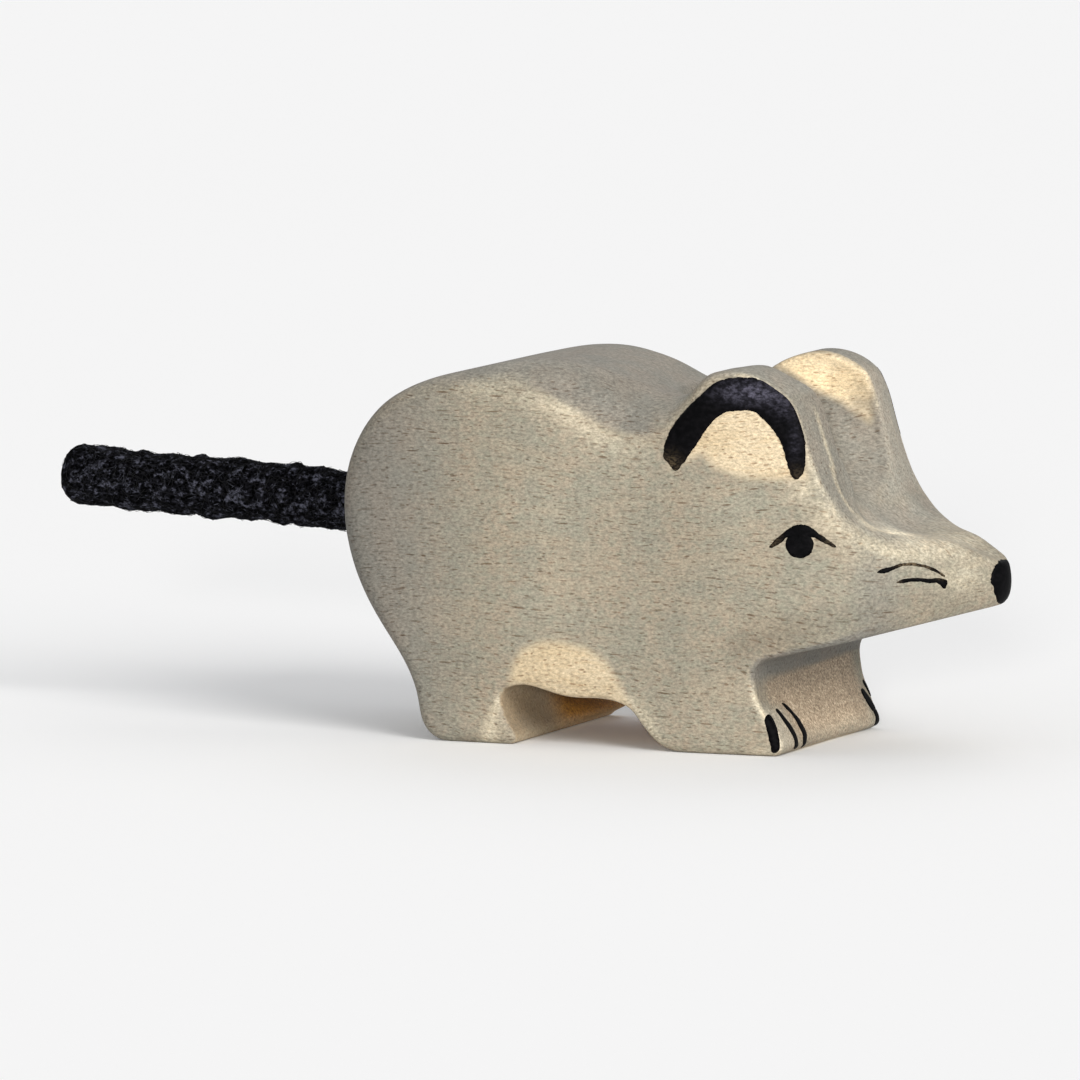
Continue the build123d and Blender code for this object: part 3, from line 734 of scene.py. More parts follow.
def wood_material():
    g = Graph("stained_beech")
    obj, normal = g.coords()
    p = g.vmath("MULTIPLY", obj, (1000.0, 1000.0, 1000.0))
    x, y, z = g.xyz(p)
    nx, ny, nz = g.xyz(normal)
    on_flank = g.ramp(g.math("ABSOLUTE", ny), 0.45, 0.8)
    on_end = g.ramp(g.math("ABSOLUTE", nx), 0.55, 0.85)

    # grain lines wander slowly
    bend = g.noise(g.vmath("MULTIPLY", p, (0.05, 0.07, 0.11)), 1.0, 2.0)
    zz = g.math("ADD", z, g.math("MULTIPLY", g.math("SUBTRACT", bend, 0.5), 5.0))
    yy = g.math("ADD", y, g.math("MULTIPLY", g.math("SUBTRACT", bend, 0.5), 5.0))

    def flecks(u, w, cell_u, cell_w, half_u, half_w, keep, shift):
        cu = g.math("ADD", g.math("DIVIDE", u, cell_u), shift)
        cw = g.math("DIVIDE", w, cell_w)
        vec = g.combine(cu, cw, 0.0)
        o = g.voronoi(vec)
        d = g.vmath("SUBTRACT", vec, o["Position"])
        dx, dy, _ = g.xyz(d)
        rr, rg, rb = g.xyz(o["Color"])
        long_ = g.lerp(rr, 0.45, 1.35)
        dx = g.math("DIVIDE", g.math("MULTIPLY", dx, cell_u / half_u), long_)
        dy = g.math("MULTIPLY", dy, cell_w / half_w)
        dist = g.math("SQRT", g.math("ADD", g.math("MULTIPLY", dx, dx), g.math("MULTIPLY", dy, dy)))
        shown = g.math("GREATER_THAN", keep, rg)
        return g.math("MULTIPLY", g.math("MULTIPLY", g.ramp(dist, 1.0, 0.35), shown), g.lerp(rb, 0.25, 1.0))

    # rays of the wood: many short ones, some longer, gathered in loose rows
    rows = g.ramp(g.noise(g.combine(g.math("MULTIPLY", x, 0.07), 0.0, g.math("MULTIPLY", zz, 0.9)), 1.0, 2.0), 0.42, 0.60, 0.25, 1.0)
    short = g.math("MULTIPLY", flecks(x, zz, 0.95, 0.36, 0.33, 0.08, 0.72, 0.0), 0.75)
    longer = g.math("MULTIPLY", flecks(x, zz, 2.2, 0.70, 0.72, 0.10, 0.62, 7.3), rows)
    flank = g.math("MAXIMUM", short, longer)
    top = g.math("MULTIPLY", flecks(x, yy, 1.9, 0.5, 0.6, 0.075, 0.55, 3.1), 0.7)
    end = g.math("MULTIPLY", flecks(z, y, 0.55, 0.55, 0.17, 0.11, 0.6, 1.7), 0.7)
    fleck = g.lerp(on_end, g.lerp(on_flank, top, flank), end)

    streak = g.noise(g.combine(g.math("MULTIPLY", x, 0.55), g.math("MULTIPLY", yy, 3.2), g.math("MULTIPLY", zz, 5.2)), 1.0, 3.0, 0.6)
    wide = g.noise(g.combine(g.math("MULTIPLY", x, 0.09), g.math("MULTIPLY", y, 0.25), g.math("MULTIPLY", zz, 0.42)), 1.0, 3.0, 0.55)
    blotch = g.noise(g.vmath("MULTIPLY", p, (0.30, 0.26, 0.17)), 1.0, 3.0, 0.55)
    speck = g.noise(g.vmath("MULTIPLY", p, (2.8, 4.6, 5.2)), 1.0, 3.0, 0.72)
    tint = g.noise(g.vmath("MULTIPLY", p, (1.2, 1.4, 1.8)), 1.0, 3.0, 0.6)

    bare = g.mix(g.ramp(wide, 0.35, 0.68), srgb(231, 212, 179), srgb(219, 197, 160))
    bare = g.mix(g.ramp(streak, 0.45, 0.75, 0.0, 0.5), bare, srgb(204, 177, 136))
    grey = g.mix(g.ramp(blotch, 0.34, 0.66), srgb(137, 131, 116), srgb(148, 136, 118))
    grey = g.mix(g.ramp(tint, 0.38, 0.66, 0.0, 0.6), grey, srgb(134, 133, 117))
    grey = g.mix(g.ramp(wide, 0.46, 0.70, 0.0, 0.5), grey, srgb(154, 141, 121))
    grey = g.mix(g.attribute("cool"), grey, g.mix(g.ramp(blotch, 0.34, 0.66), srgb(136, 133, 124), srgb(143, 136, 125)))
    rubbed_and_highlight = g.mix(g.ramp(tint, 0.35, 0.65), srgb(196, 187, 164), srgb(190, 176, 151))
    endgrain = g.mix(g.ramp(speck, 0.35, 0.65), srgb(147, 129, 107), srgb(170, 153, 131))
    scratch = g.noise(g.combine(g.math("ADD", g.math("MULTIPLY", y, 1.2), g.math("MULTIPLY", z, -0.6)),
                                g.math("ADD", g.math("MULTIPLY", y, 2.0), g.math("MULTIPLY", z, 4.4)), 0.0), 1.0, 2.0, 0.6)
    endgrain = g.mix(g.ramp(scratch, 0.56, 0.68, 0.0, 0.6), endgrain, srgb(206, 190, 164))

    ragged = g.math("MULTIPLY", g.math("SUBTRACT", speck, 0.5), 0.55)
    ragged = g.math("ADD", ragged, g.math("MULTIPLY", g.math("SUBTRACT", streak, 0.5), 0.40))

    def grain_ragged(name):
        """An amount whose soft border is broken up by the grain."""
        amount = g.attribute(name)
        spread = g.math("MULTIPLY", g.math("MULTIPLY", amount, g.math("SUBTRACT", 1.0, amount)), 4.0)
        return g.math("ADD", amount, g.math("MULTIPLY", ragged, g.math("ADD", spread, 0.06)), clamp=True)

    # pale mixes in sanded wood and painted highlight
    colour = g.mix(grain_ragged("pale"), grey, rubbed_and_highlight)
    colour = g.mix(grain_ragged("tan"), colour, endgrain)
    colour = g.mix(grain_ragged("stain"), bare, colour)
    # red-brown painted shade for the bare wood inside the arch
    brown = g.mix(g.ramp(streak, 0.35, 0.65), srgb(182, 126, 18), srgb(142, 92, 10))
    colour = g.mix(g.math("MULTIPLY", g.attribute("brown"), 0.92), colour, brown)
    shade = g.math("ADD", 0.955, g.math("MULTIPLY", g.math("SUBTRACT", streak, 0.5), 0.30))
    shade = g.math("MULTIPLY", shade, g.math("ADD", 1.0, g.math("MULTIPLY", g.math("SUBTRACT", speck, 0.5), 1.95)))
    shade = g.math("MULTIPLY", shade, g.attribute("tone"))
    colour = g.mix(1.0, colour, g.combine(shade, shade, shade), "MULTIPLY")
    dark = g.mix(1.0, colour, srgb(148, 114, 82), "MULTIPLY")
    colour = g.mix(g.math("MULTIPLY", fleck, 0.85), colour, dark)
    g.shader(Base_Color=colour, Roughness=g.lerp(streak, 0.58, 0.72))
    g.bsdf.inputs["Specular IOR Level"].default_value = 0.25
    height = g.math("SUBTRACT", g.math("MULTIPLY", streak, 0.35), g.math("MULTIPLY", fleck, 0.6))
    height = g.math("ADD", height, g.math("MULTIPLY", speck, 0.3))
    g.bump(height, 0.00006, 0.7)
    return g.mat


wood = wood_material()
body = make_object("mouse_body", wood_v, wood_f, [wood])
for name, amount in paint.items():
    set_attribute(body, name, amount)
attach(body, "figure")
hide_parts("body")


# =================================================================================================
# brush marks: thin closed films that lie on the wood
# =================================================================================================
def smooth_loop(points, step=0.1, sharp=()):
    """Closed Catmull-Rom loop through the points."""
    p = np.array(points, float)
    n = len(p)
    out = []
    for i in range(n):
        a, b, c, d = p[i - 1], p[i], p[(i + 1) % n], p[(i + 2) % n]
        if i in sharp:
            a = b
        if (i + 1) % n in sharp:
            d = c
        k = max(2, int(np.hypot(*(c - b)) / step))
        t = (np.arange(k) / k)[:, None]
        out.append(0.5 * (2 * b + (c - a) * t + (2 * a - 5 * b + 4 * c - d) * t ** 2 + (3 * b - a - 3 * c + d) * t ** 3))
    return np.vstack(out)


def ragged_loop(loop, amount, rng, waves=((1.3, 1.0), (0.45, 0.7)), grow=0.0):
    """Moves the loop in and out a little, as a brush's edge on wood does, and outwards by grow."""
    if ((loop[:, 0] * np.roll(loop[:, 1], -1)) - (np.roll(loop[:, 0], -1) * loop[:, 1])).sum() < 0:
        loop = loop[::-1]
    nxt, prv = np.roll(loop, -1, 0), np.roll(loop, 1, 0)
    tangent = unit(nxt - prv)
    side = np.stack([tangent[:, 1], -tangent[:, 0]], 1)
    s = np.concatenate([[0], np.cumsum(np.hypot(*np.diff(loop, axis=0).T))])
    total = s[-1] + np.hypot(*(loop[0] - loop[-1]))
    shift = np.zeros(len(loop))
    for wave, share in waves:
        k0 = max(2, int(total / wave))
        for k in range(k0, 2 * k0):
            shift += share * np.cos(2 * np.pi * k * s / total + rng.uniform(0, 6.28)) / math.sqrt(k0)
    return loop + side * (shift * amount + grow)[:, None]


def film(loops, origin, u, v, away, top=0.035, bottom=0.06, grid=0.34, reach=8.0):
    """Closed films over the loops (u, v), laid on the wood by going from outside against the direction away."""
    origin, u, v, away = (np.array(q, float) for q in (origin, u, v, away))
    verts, faces, base = [], [], 0
    for loop in loops:
        if ((loop[:, 0] * np.roll(loop[:, 1], -1)) - (np.roll(loop[:, 0], -1) * loop[:, 1])).sum() < 0:
            loop = loop[::-1]
        lo2, hi2 = loop.min(0), loop.max(0)
        px, py = np.meshgrid(np.arange(lo2[0], hi2[0], grid), np.arange(lo2[1], hi2[1], grid * 0.87), indexing="ij")
        px = px + (np.arange(px.shape[1])[None, :] % 2) * grid / 2
        d = polygon_field(loop, px, py)[0]
        inner = np.stack([px[d < -0.6 * grid], py[d < -0.6 * grid]], 1)
        pts = np.vstack([loop, inner])
        n = len(loop)
        res = delaunay_2d_cdt([Vector(q) for q in pts], [], [list(range(n))], 1, 1e-7)
        p2 = np.array([tuple(q) for q in res[0]])
        tri = [list(f) for f in res[2]]
        depth = -polygon_field(loop, p2[:, 0], p2[:, 1])[0]
        start = origin + p2[:, :1] * u + p2[:, 1:] * v + away * reach
        t = np.zeros(len(p2))
        for _ in range(90):
            t += np.clip(body_at(start - t[:, None] * away), -0.5, 2.0) * 0.9
        at = start - t[:, None] * away
        nrm = unit(slope(body_at, at))
        lift = top * (0.45 + 0.55 * soft(depth, 0.0, 0.16))
        up = at + nrm * lift[:, None]
        down = at - nrm * bottom
        normal_way = np.cross(u, v) @ away
        k = len(p2)
        verts += [up, down]
        count = {}
        for f in tri:
            if normal_way < 0:
                f = f[::-1]
            faces.append([base + i for i in f])
            faces.append([base + k + i for i in f[::-1]])
            for i in range(3):
                e = (f[i], f[(i + 1) % 3])
                count[e] = 1
        for (i, j) in count:
            if (j, i) not in count:
                faces.append([base + j, base + i, base + k + i, base + k + j])
        base += 2 * k
    return np.vstack(verts), faces


def join(*parts):
    verts, faces, base = [], [], 0
    for v, f in parts:
        verts.append(v)
        faces += [[i + base for i in q] for q in f]
        base += len(v)
    return np.vstack(verts), faces


def keep_inside(loop, margin, s):
    """Pulls the points of a flank mark to at least the margin inside the border of the flank on side s."""
    def border(x, z):
        return SIDE(*lean(x, s * HALF, z))

    for _ in range(6):
        d = border(loop[:, 0], loop[:, 1]) + np.maximum(facet(loop[:, 0], loop[:, 1]) - 0.25, 0.0)
        e = 0.15
        g = np.stack([border(loop[:, 0] + e, loop[:, 1]) - border(loop[:, 0] - e, loop[:, 1]),
                      border(loop[:, 0], loop[:, 1] + e) - border(loop[:, 0], loop[:, 1] - e)], 1) / (2 * e)
        loop = loop - np.maximum(d + margin, 0)[:, None] * unit(g)
    return loop


def paint_material(name):
    """Brushed black; the point attribute thin lets the wood's brown through, and a second point attribute adds a
    painted grey highlight.
    """
    g = Graph(name)
    obj, normal = g.coords()
    p = g.vmath("MULTIPLY", obj, (1000.0, 1000.0, 1000.0))
    stroke = g.noise(g.vmath("MULTIPLY", p, (1.6, 2.4, 2.6)), 1.0, 3.0, 0.6)
    hair = g.noise(g.vmath("MULTIPLY", p, (3.5, 4.5, 6.0)), 1.0, 2.0, 0.6)
    colour = g.mix(g.ramp(stroke, 0.38, 0.72), srgb(2, 2, 3), srgb(11, 10, 12))
    grey = g.mix(g.ramp(stroke, 0.35, 0.68), srgb(38, 37, 44), srgb(92, 90, 104))
    shown = g.math("MULTIPLY", g.attribute("painted_sheen"), g.ramp(hair, 0.30, 0.62, 0.35, 1.0))
    colour = g.mix(shown, colour, grey)
    wash = g.mix(g.ramp(hair, 0.35, 0.65), srgb(58, 48, 36), srgb(122, 106, 82))
    colour = g.mix(g.math("MULTIPLY", g.attribute("thin"), g.ramp(hair, 0.28, 0.60, 0.35, 1.0)), colour, wash)
    g.shader(Base_Color=colour, Roughness=g.lerp(stroke, 0.50, 0.68))
    g.bsdf.inputs["Specular IOR Level"].default_value = 0.05
    g.bump(stroke, 0.00003, 0.6)
    return g.mat


black = paint_material("black_paint")


def mark(name, mesh, node, thin=None, painted_sheen=None):
    verts, faces = mesh
    ob = make_object(name, verts, faces, [black])
    set_attribute(ob, "thin", np.zeros(len(verts)) if thin is None else thin(*verts.T))
    set_attribute(ob, "painted_sheen", np.zeros(len(verts)) if painted_sheen is None else painted_sheen(*verts.T))
    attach(ob, "figure")
    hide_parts(node)


def spot(x, z, x0, z0, rx, rz):
    return np.exp(-((x - x0) / rx) ** 2 - ((z - z0) / rz) ** 2)


EYE, EYE_R = (28.72, 17.9), (1.2, 1.13)
LID = [(26.14, 17.72), (26.65, 18.31), (27.29, 18.84), (27.91, 19.32), (28.51, 19.59), (29.28, 19.61), (29.88, 19.3), (30.47, 18.85),
       (31.18, 18.35), (31.74, 17.9), (31.54, 17.8), (30.9, 18.1), (30.32, 18.40), (29.75, 18.62), (28.8, 18.3), (27.75, 18.55), (27.29, 18.17),
       (26.81, 17.86), (26.33, 17.6)]
MOUTH_UP = [(34.68, 15.66), (35.08, 15.92), (35.56, 16.04), (36.03, 16.2), (36.41, 16.32), (36.79, 16.33), (37.09, 16.31), (37.39, 16.25),
            (37.7, 16.14), (38.09, 16.0), (38.47, 15.81), (38.77, 15.56), (39.19, 15.13), (39.08, 15.07), (38.78, 15.34), (38.47, 15.57),
            (38.13, 15.77), (37.71, 15.95), (37.41, 16.02), (37.1, 16.11), (36.72, 16.12), (36.33, 16.07), (35.94, 15.91), (35.56, 15.69), (35.16, 15.55),
            (34.84, 15.55)]
MOUTH_LOW = [(36.06, 14.7), (36.41, 14.89), (36.8, 14.97), (37.3, 14.99), (37.72, 14.94), (38.25, 14.87), (38.63, 14.91), (39.0, 14.85),
             (39.37, 14.68), (39.38, 14.39), (39.27, 14.05), (39.15, 14.1), (38.97, 14.37), (38.67, 14.56), (38.37, 14.55), (37.98, 14.62),
             (37.61, 14.73), (37.11, 14.73), (36.73, 14.68), (36.33, 14.66)]
NOSE_HALF = [(0.0, 16.06), (0.8, 16.0), (1.35, 15.86), (1.78, 15.52), (2.08, 15.15), (2.2, 14.75), (2.17, 14.3), (2.0, 13.85), (1.75, 13.3),
             (1.25, 12.75), (0.7, 12.48), (0.0, 12.4)]
# claws: on the right foot the first wraps the outer edge, on the left foot the strokes run to the outer edge
CLAW_EDGE = [(-0.91, 3.05), (-0.69, 3.43), (-0.30, 3.5), (-0.01, 3.2), (0.11, 2.61), (0.16, 1.93), (0.17, 1.23), (0.12, 0.68), (-0.06, 0.38),
             (-0.32, 0.38), (-0.50, 0.68), (-0.67, 1.64), (-0.81, 2.42)]
CLAWS_RIGHT = [[(8.64, 3.67), (8.32, 3.36), (8.15, 2.88), (7.8, 2.29), (7.65, 1.65), (7.7, 1.02), (7.73, 0.45), (8.35, 0.5), (8.36, 1.01),
                (8.36, 1.56), (8.57, 2.13), (8.75, 2.7), (8.87, 3.22), (8.97, 3.59)],
               [(7.04, 4.01), (6.35, 3.69), (5.99, 3.19), (5.55, 2.6), (5.34, 1.94), (5.34, 1.46), (5.6, 1.03), (5.95, 0.41), (6.31, 0.37),
                (6.4, 0.89), (6.14, 1.4), (6.18, 1.96), (6.24, 2.59), (6.47, 3.16), (6.85, 3.6), (6.98, 3.85)]]
CLAWS_LEFT = [[(9.3, 3.4), (9.45, 2.75), (9.7, 2.16), (10.0, 1.74), (10.7, 1.9), (10.6, 2.5), (10.2, 3.1), (9.75, 3.55)],
              [(10.1, 1.66), (10.75, 1.68), (10.9, 1.2), (10.8, 0.6), (10.35, 0.5), (9.95, 0.68), (10.1, 1.18)],
              [(10.45, 4.1), (10.75, 4.15), (11.0, 3.5), (11.1, 3.0), (10.85, 2.95), (10.6, 3.5)]]

for s, side in ((-1, "right"), (1, "left")):
    rng = np.random.default_rng(77 + s)
    lay = dict(origin=(0, 0, 0), u=(1, 0, 0), v=(0, 0, 1), away=(0.0, float(s), 0.0), reach=15.0)
    arc = keep_inside(ragged_loop(smooth_loop(EAR, 0.09) + [0.03, -0.04], 0.022, rng, grow=0.06), 0.22, s)
    # the arcs get a painted grey-blue highlight, strongest near their top
    mark("ear_arc_" + side, film([arc], **lay, grid=0.18, top=0.085), "ear_paint_" + side,
         thin=lambda x, y, z: 0.35 * spot(x, z, 17.2, 24.2, 0.9, 0.9) + 0.15 * spot(x, z, 28.5, 23.8, 0.7, 0.7),
         painted_sheen=lambda x, y, z: np.clip(1.1 * spot(x, z, 24.5, 30.5, 2.6, 0.85) + 0.45 * spot(x, z, 27.3, 29.3, 1.0, 0.8)
                                       + 0.25 * spot(x, z, 28.3, 26.6, 0.5, 1.6), 0, 1))

    ring = np.array([(EYE[0] + EYE_R[0] * math.cos(k * 0.13), EYE[1] + EYE_R[1] * math.sin(k * 0.13)) for k in range(48)])
    lid = ragged_loop(smooth_loop(LID, 0.07) + [-0.03, -0.05], 0.014, rng, grow=0.01)
    mark("eye_" + side, film([ragged_loop(ring, 0.018, rng), lid], **lay, grid=0.26), "eye_paint_" + side,
         thin=lambda x, y, z: 0.25 * soft(np.abs(x - 28.9), 1.4, 2.4) * soft(z, 17.3, 17.7))

    strokes = [ragged_loop(smooth_loop(m, 0.06) + move, 0.014, rng, grow=wide)
               for m, move, wide in ((MOUTH_UP, [0.08, -0.03], 0.015), (MOUTH_LOW, [0.02, 0.01], 0.03))]
    mark("mouth_" + side, film(strokes, **lay, grid=0.2), "mouth_paint_" + side,
         thin=lambda x, y, z: (0.85 * spot(x, z, 36.95, 16.2, 0.7, 0.3) + 0.75 * spot(x, z, 39.1, 15.15, 0.35, 0.25)
                               + 0.45 * spot(x, z, 38.1, 15.9, 0.4, 0.3) + 0.5 * spot(x, z, 36.1, 14.75, 0.3, 0.2)))

    h = math.sqrt(0.5)
    front = dict(origin=(0, 0, 0), u=(0, s, 0), v=(0, 0, 1), away=(1, 0, 0), reach=32.0, grid=0.16, top=0.06)
    if s < 0:
        corner = film([ragged_loop(smooth_loop(CLAW_EDGE, 0.07), 0.012, rng)], origin=(26.6, s * 11.1, 0.0), u=(h, -s * h, 0), v=(0, 0, 1),
                      away=(h, s * h, 0), reach=3.0, grid=0.24)
        mesh = join(corner, film([ragged_loop(smooth_loop(w, 0.07), 0.012, rng, grow=0.07) for w in CLAWS_RIGHT], **front))
    else:
        mesh = film([ragged_loop(smooth_loop(w, 0.07) + [0.0, -0.13], 0.012, rng, grow=0.07) for w in CLAWS_LEFT], **front)
    mark("claws_" + side, mesh, "claw_paint_" + side)

tip = smooth_loop(NOSE_HALF + [(-a, b) for a, b in NOSE_HALF[-2:0:-1]], 0.1)
mark("nose_tip", film([ragged_loop(tip, 0.03, np.random.default_rng(5))], origin=(0, 0, 0), u=(0, 1, 0), v=(0, 0, 1), away=(1, 0, 0), reach=48.0,
                      grid=0.22, top=0.04), "nose_paint")


# =================================================================================================
# the cord tail: three felted strands, twisted
# =================================================================================================
CORD_R, FREE, SEAM = 2.55, 30.05, 8.0
TAIL_UP = np.cross(TAIL_DIR, [0.0, 1.0, 0.0])
TAIL_UP = TAIL_UP if TAIL_UP[2] > 0 else -TAIL_UP
TAIL_SIDE = np.cross(TAIL_UP, TAIL_DIR)
PITCH = 8.6


def lump_table(seed, n_s, n_t, cells):
    """Smooth noise on the cord's skin, periodic around it."""
    rng = np.random.default_rng(seed)
    total = np.zeros((n_s, n_t))
    for along, around, amp in cells:
        raw = rng.normal(size=(along, around))
        u = np.linspace(0, along - 1.001, n_s)
        w = np.arange(n_t) * around / n_t
        i, j = u.astype(int), w.astype(int)
        fu, fw = u - i, w - j
        fu, fw = fu * fu * (3 - 2 * fu), fw * fw * (3 - 2 * fw)
        a = raw[i][:, j] * (1 - fw) + raw[i][:, (j + 1) % around] * fw
        b = raw[np.minimum(i + 1, along - 1)][:, j] * (1 - fw) + raw[np.minimum(i + 1, along - 1)][:, (j + 1) % around] * fw
        total += amp * (a * (1 - fu[:, None]) + b * fu[:, None])
    return total


N_S, N_T = 200, 84
S_ROW = np.linspace(-4.2, FREE, N_S)
ANGLE = np.arange(N_T) * 2 * np.pi / N_T
SKIN = lump_table(31, N_S, N_T, ((14, 4, 0.05), (26, 7, 0.075), (60, 18, 0.045), (130, 42, 0.034)))
WOBBLE = lump_table(32, N_S, 2, ((9, 2, 0.06),))


def cord_radius(s, angle):
    """Radius of the cord's skin: three soft strands and lumps."""
    phase = angle + 2 * np.pi * s / PITCH + 0.20 * np.sin(0.556 * s + 1.0) + 0.13 * np.sin(1.232 * s + 2.2)
    strand = 0.5 + 0.5 * np.cos(3.0 * phase)
    deep = 0.24 * (0.62 + 0.38 * np.sin(0.816 * s + 0.5)) * (1 - 0.7 * soft(s, FREE - 2.6, FREE - 0.6))
    i = np.clip((s + 4.2) / (FREE + 4.2) * (N_S - 1), 0, N_S - 1.001)
    j = (angle / (2 * np.pi)) % 1.0 * N_T
    i0, j0 = i.astype(int), j.astype(int) % N_T
    fi, fj = i - i0, j - j.astype(int)
    lump = ((SKIN[i0, j0] * (1 - fi) + SKIN[np.minimum(i0 + 1, N_S - 1), j0] * fi) * (1 - fj)
            + (SKIN[i0, (j0 + 1) % N_T] * (1 - fi) + SKIN[np.minimum(i0 + 1, N_S - 1), (j0 + 1) % N_T] * fi) * fj)
    neck = 1 - 0.10 * (1 - soft(s, -1.0, 1.5))                    # pinched where it enters the hole
    return (CORD_R - 0.02 + deep * (strand - 0.5) + lump) * neck


def cord_point(s, angle, r):
    i = np.clip((s + 4.2) / (FREE + 4.2) * (N_S - 1), 0, N_S - 1).astype(int)
    mid = TAIL_ROOT + s[..., None] * TAIL_DIR + 0.07 * TAIL_UP + WOBBLE[i, 0][..., None] * TAIL_SIDE * soft(s, 0, 6)[..., None] \
        + WOBBLE[i, 1][..., None] * TAIL_UP * soft(s, 0, 6)[..., None]
    return mid + (r * np.cos(angle))[..., None] * TAIL_UP + (r * np.sin(angle))[..., None] * TAIL_SIDE


def cord_tube(s_from, s_to, round_end):
    rows = np.linspace(s_from, s_to, max(8, int((s_to - s_from) / 0.19)))
    if round_end:
        tip = 1.25
        rows = rows[rows < s_to - tip]
        t = np.linspace(0, 1, 12)[:-1]
        rows = np.concatenate([rows, s_to - tip + tip * np.sin(t * np.pi / 2)])
    S, A = np.meshgrid(rows, ANGLE, indexing="ij")
    r = cord_radius(S, A)
    if round_end:
        k = np.clip((S - (s_to - tip)) / tip, 0, 1)
        r = r - tip * (1 - np.sqrt(np.maximum(0, 1 - k ** 2)))
    grid = cord_point(S, A, r)
    n = len(rows)
    verts = grid.reshape(-1, 3)
    a = np.arange(n - 1)[:, None] * N_T + np.arange(N_T)[None, :]
    b = np.arange(n - 1)[:, None] * N_T + (np.arange(N_T)[None, :] + 1) % N_T
    faces = np.stack([a, a + N_T, b + N_T, b], -1).reshape(-1, 4).tolist()
    first, last = verts[:N_T], verts[-N_T:]
    # ends: rings that shrink to a point
    for ring0, ring, flip, bulge in ((0, first, True, -0.02), ((n - 1) * N_T, last, False, 0.06 if round_end else 0.02)):
        mid = ring.mean(0)
        prev = np.arange(ring0, ring0 + N_T)
        for k, share in enumerate((0.72, 0.44, 0.18)):
            extra = mid + (ring - mid) * share + TAIL_DIR * bulge * (1 - share)
            if round_end and not flip:
                extra = extra + TAIL_DIR * SKIN[5 + k, :, None] * 1.2
            base = len(verts)
            verts = np.vstack([verts, extra])
            cur = np.arange(base, base + N_T)
            q = np.stack([prev, cur, np.roll(cur, -1), np.roll(prev, -1)], 1)
            faces += (q[:, ::-1] if flip else q).tolist()
            prev = cur
        verts = np.vstack([verts, mid + TAIL_DIR * bulge])
        tip_i = len(verts) - 1
        for i in range(N_T):
            f = [int(prev[i]), tip_i, int(prev[(i + 1) % N_T])]
            faces.append(f[::-1] if flip else f)
    return verts, faces


def fibres(count, s_from, s_to, seed):
    """Loose fibres of the felt, each a thin curved three-sided strand with closed ends."""
    rng = np.random.default_rng(seed)
    verts, faces, base = [], [], 0
    for _ in range(count):
        s, a = rng.uniform(s_from, s_to), rng.uniform(0, 2 * np.pi)
        length = rng.uniform(0.6, 2.2)
        turn = rng.normal(0, 0.9) + 0.35
        curl = rng.normal(0, 0.8)
        lift = abs(rng.normal(0, 0.06)) + 0.015
        k = 6
        t = np.linspace(0, 1, k)
        head = turn + curl * t
        ss = s + np.cumsum(np.cos(head)) / k * length * (1 if rng.random() < 0.5 else -1)
        aa = a + np.cumsum(np.sin(head)) / k * length / CORD_R
        ss = np.clip(ss, s_from - 0.2, s_to - 0.15)
        r = cord_radius(ss, aa) + lift * np.sin(np.pi * t) - 0.03 + (0.15 * t ** 2 * (rng.random() < 0.08))
        if s_to > FREE - 0.5:
            kk = np.clip((ss - (FREE - 1.25)) / 1.25, 0, 1)
            r = r - 1.25 * (1 - np.sqrt(np.maximum(0, 1 - kk ** 2)))
        path = cord_point(ss, aa, r)
        tangent = unit(np.gradient(path, axis=0))
        ref = unit(np.cross(tangent, rng.normal(size=3)))
        ref2 = np.cross(tangent, ref)
        thick = rng.uniform(0.014, 0.028) * (1 - 0.5 * np.abs(2 * t - 1) ** 3)
        for i in range(k):
            for j in range(3):
                w = 2 * np.pi * j / 3
                verts.append(path[i] + thick[i] * (math.cos(w) * ref[i] + math.sin(w) * ref2[i]))
        for i in range(k - 1):
            for j in range(3):
                p0, p1 = base + i * 3 + j, base + i * 3 + (j + 1) % 3
                faces.append([p0, p1, p1 + 3, p0 + 3])
        faces.append([base + 2, base + 1, base])
        e = base + (k - 1) * 3
        faces.append([e, e + 1, e + 2])
        base += 3 * k
    return np.array(verts), faces


def felt_material():
    g = Graph("black_felt")
    obj, normal = g.coords()
    p = g.vmath("MULTIPLY", obj, (1000.0, 1000.0, 1000.0))
    fuzz = g.noise(g.vmath("MULTIPLY", p, (2.9, 3.6, 3.6)), 1.0, 4.0, 0.7)
    tuft = g.noise(g.vmath("MULTIPLY", p, (1.2, 1.5, 1.5)), 1.0, 4.0, 0.65)
    colour = g.mix(g.ramp(fuzz, 0.42, 0.68), srgb(0, 0, 0), srgb(22, 22, 26))
    colour = g.mix(g.math("MULTIPLY", g.math("MULTIPLY", g.ramp(tuft, 0.49, 0.66), g.ramp(fuzz, 0.40, 0.58)), 0.9), colour, srgb(78, 79, 90))
    g.shader(Base_Color=colour, Roughness=g.lerp(fuzz, 0.86, 0.98))
    g.bsdf.inputs["Specular IOR Level"].default_value = 0.02
    g.bump(fuzz, 0.0002, 0.9)
    return g.mat


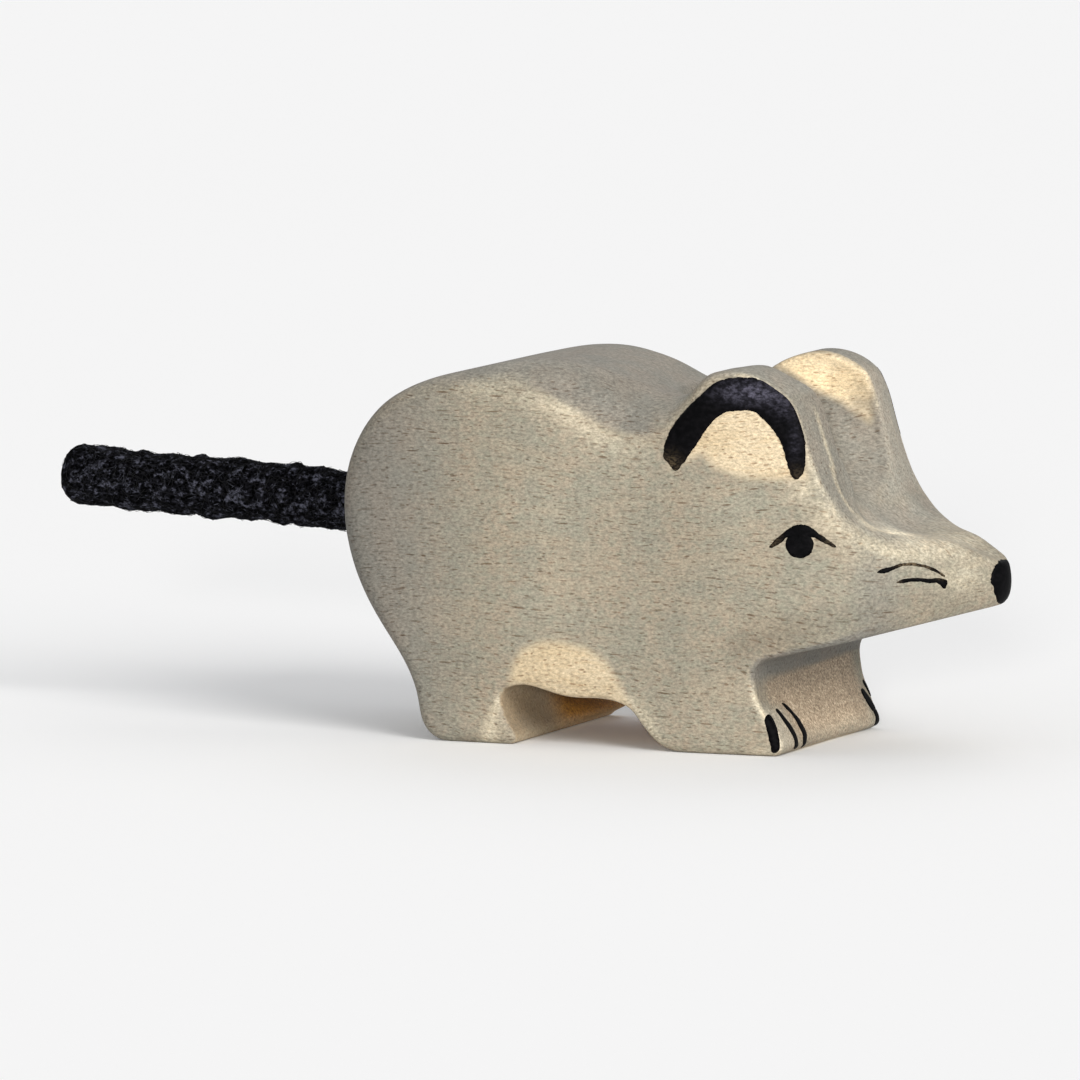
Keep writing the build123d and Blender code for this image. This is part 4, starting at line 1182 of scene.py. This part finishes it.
def fibre_material():
    g = Graph("felt_fibre")
    obj, normal = g.coords()
    p = g.vmath("MULTIPLY", obj, (1000.0, 1000.0, 1000.0))
    which = g.noise(g.vmath("MULTIPLY", p, (1.3, 1.7, 1.7)), 1.0, 1.0, 0.5)
    colour = g.mix(g.ramp(which, 0.54, 0.80), srgb(8, 8, 10), srgb(80, 82, 92))
    g.shader(Base_Color=colour, Roughness=g.lerp(which, 0.7, 0.9))
    g.bsdf.inputs["Specular IOR Level"].default_value = 0.2
    return g.mat


felt, strand = felt_material(), fibre_material()


for name, s0, s1, end, bodies, a, b, hides, seed, count in (
        ("tail_cord_near", -4.2, SEAM, False, ("figure", "tail_middle"), 0.4, 5.6, ("tail_root", "tail_middle"), 3, 620),
        ("tail_cord_far", SEAM, FREE, True, ("tail_middle", "tail_end"), 9.0, 17.0, ("tail_end",), 4, 1750)):
    v1, f1 = cord_tube(s0, s1, end)
    v2, f2 = fibres(count, max(s0, 0.4), s1, seed)
    ob = make_object(name, np.vstack([v1, v2]), f1 + [[i + len(v1) for i in f] for f in f2], [felt, strand])
    ob.data.polygons.foreach_set("material_index", np.array([0] * len(f1) + [1] * len(f2), np.int32))
    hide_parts(*hides)
    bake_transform(ob)

# glue inside the hole
g = Graph("set_glue")
obj, normal = g.coords()
cloud = g.noise(g.vmath("MULTIPLY", obj, (900.0, 900.0, 900.0)), 1.0, 3.0, 0.6)
g.shader(Base_Color=g.mix(g.ramp(cloud, 0.35, 0.7), srgb(222, 206, 168), srgb(198, 176, 132)), Roughness=g.lerp(cloud, 0.3, 0.5))
g.bump(cloud, 0.0001, 0.5)
glue = nodes["tail_glue"]
glue.data.materials.clear()
glue.data.materials.append(g.mat)

# =================================================================================================
# floor
# =================================================================================================
g = Graph("pale_floor")
obj, normal = g.coords()
cloud = g.noise(obj, 3.0, 2.0, 0.5)
g.shader(Base_Color=g.mix(cloud, (0.972, 0.972, 0.972), (0.98, 0.98, 0.983)), Roughness=g.lerp(cloud, 0.8, 0.9))
g.bsdf.inputs["Specular IOR Level"].default_value = 0.1
floor = make_object("floor", [(-4000, -4000, 0), (4000, -4000, 0), (4000, 4000, 0), (-4000, 4000, 0)], [(0, 1, 2, 3)], [g.mat], False)
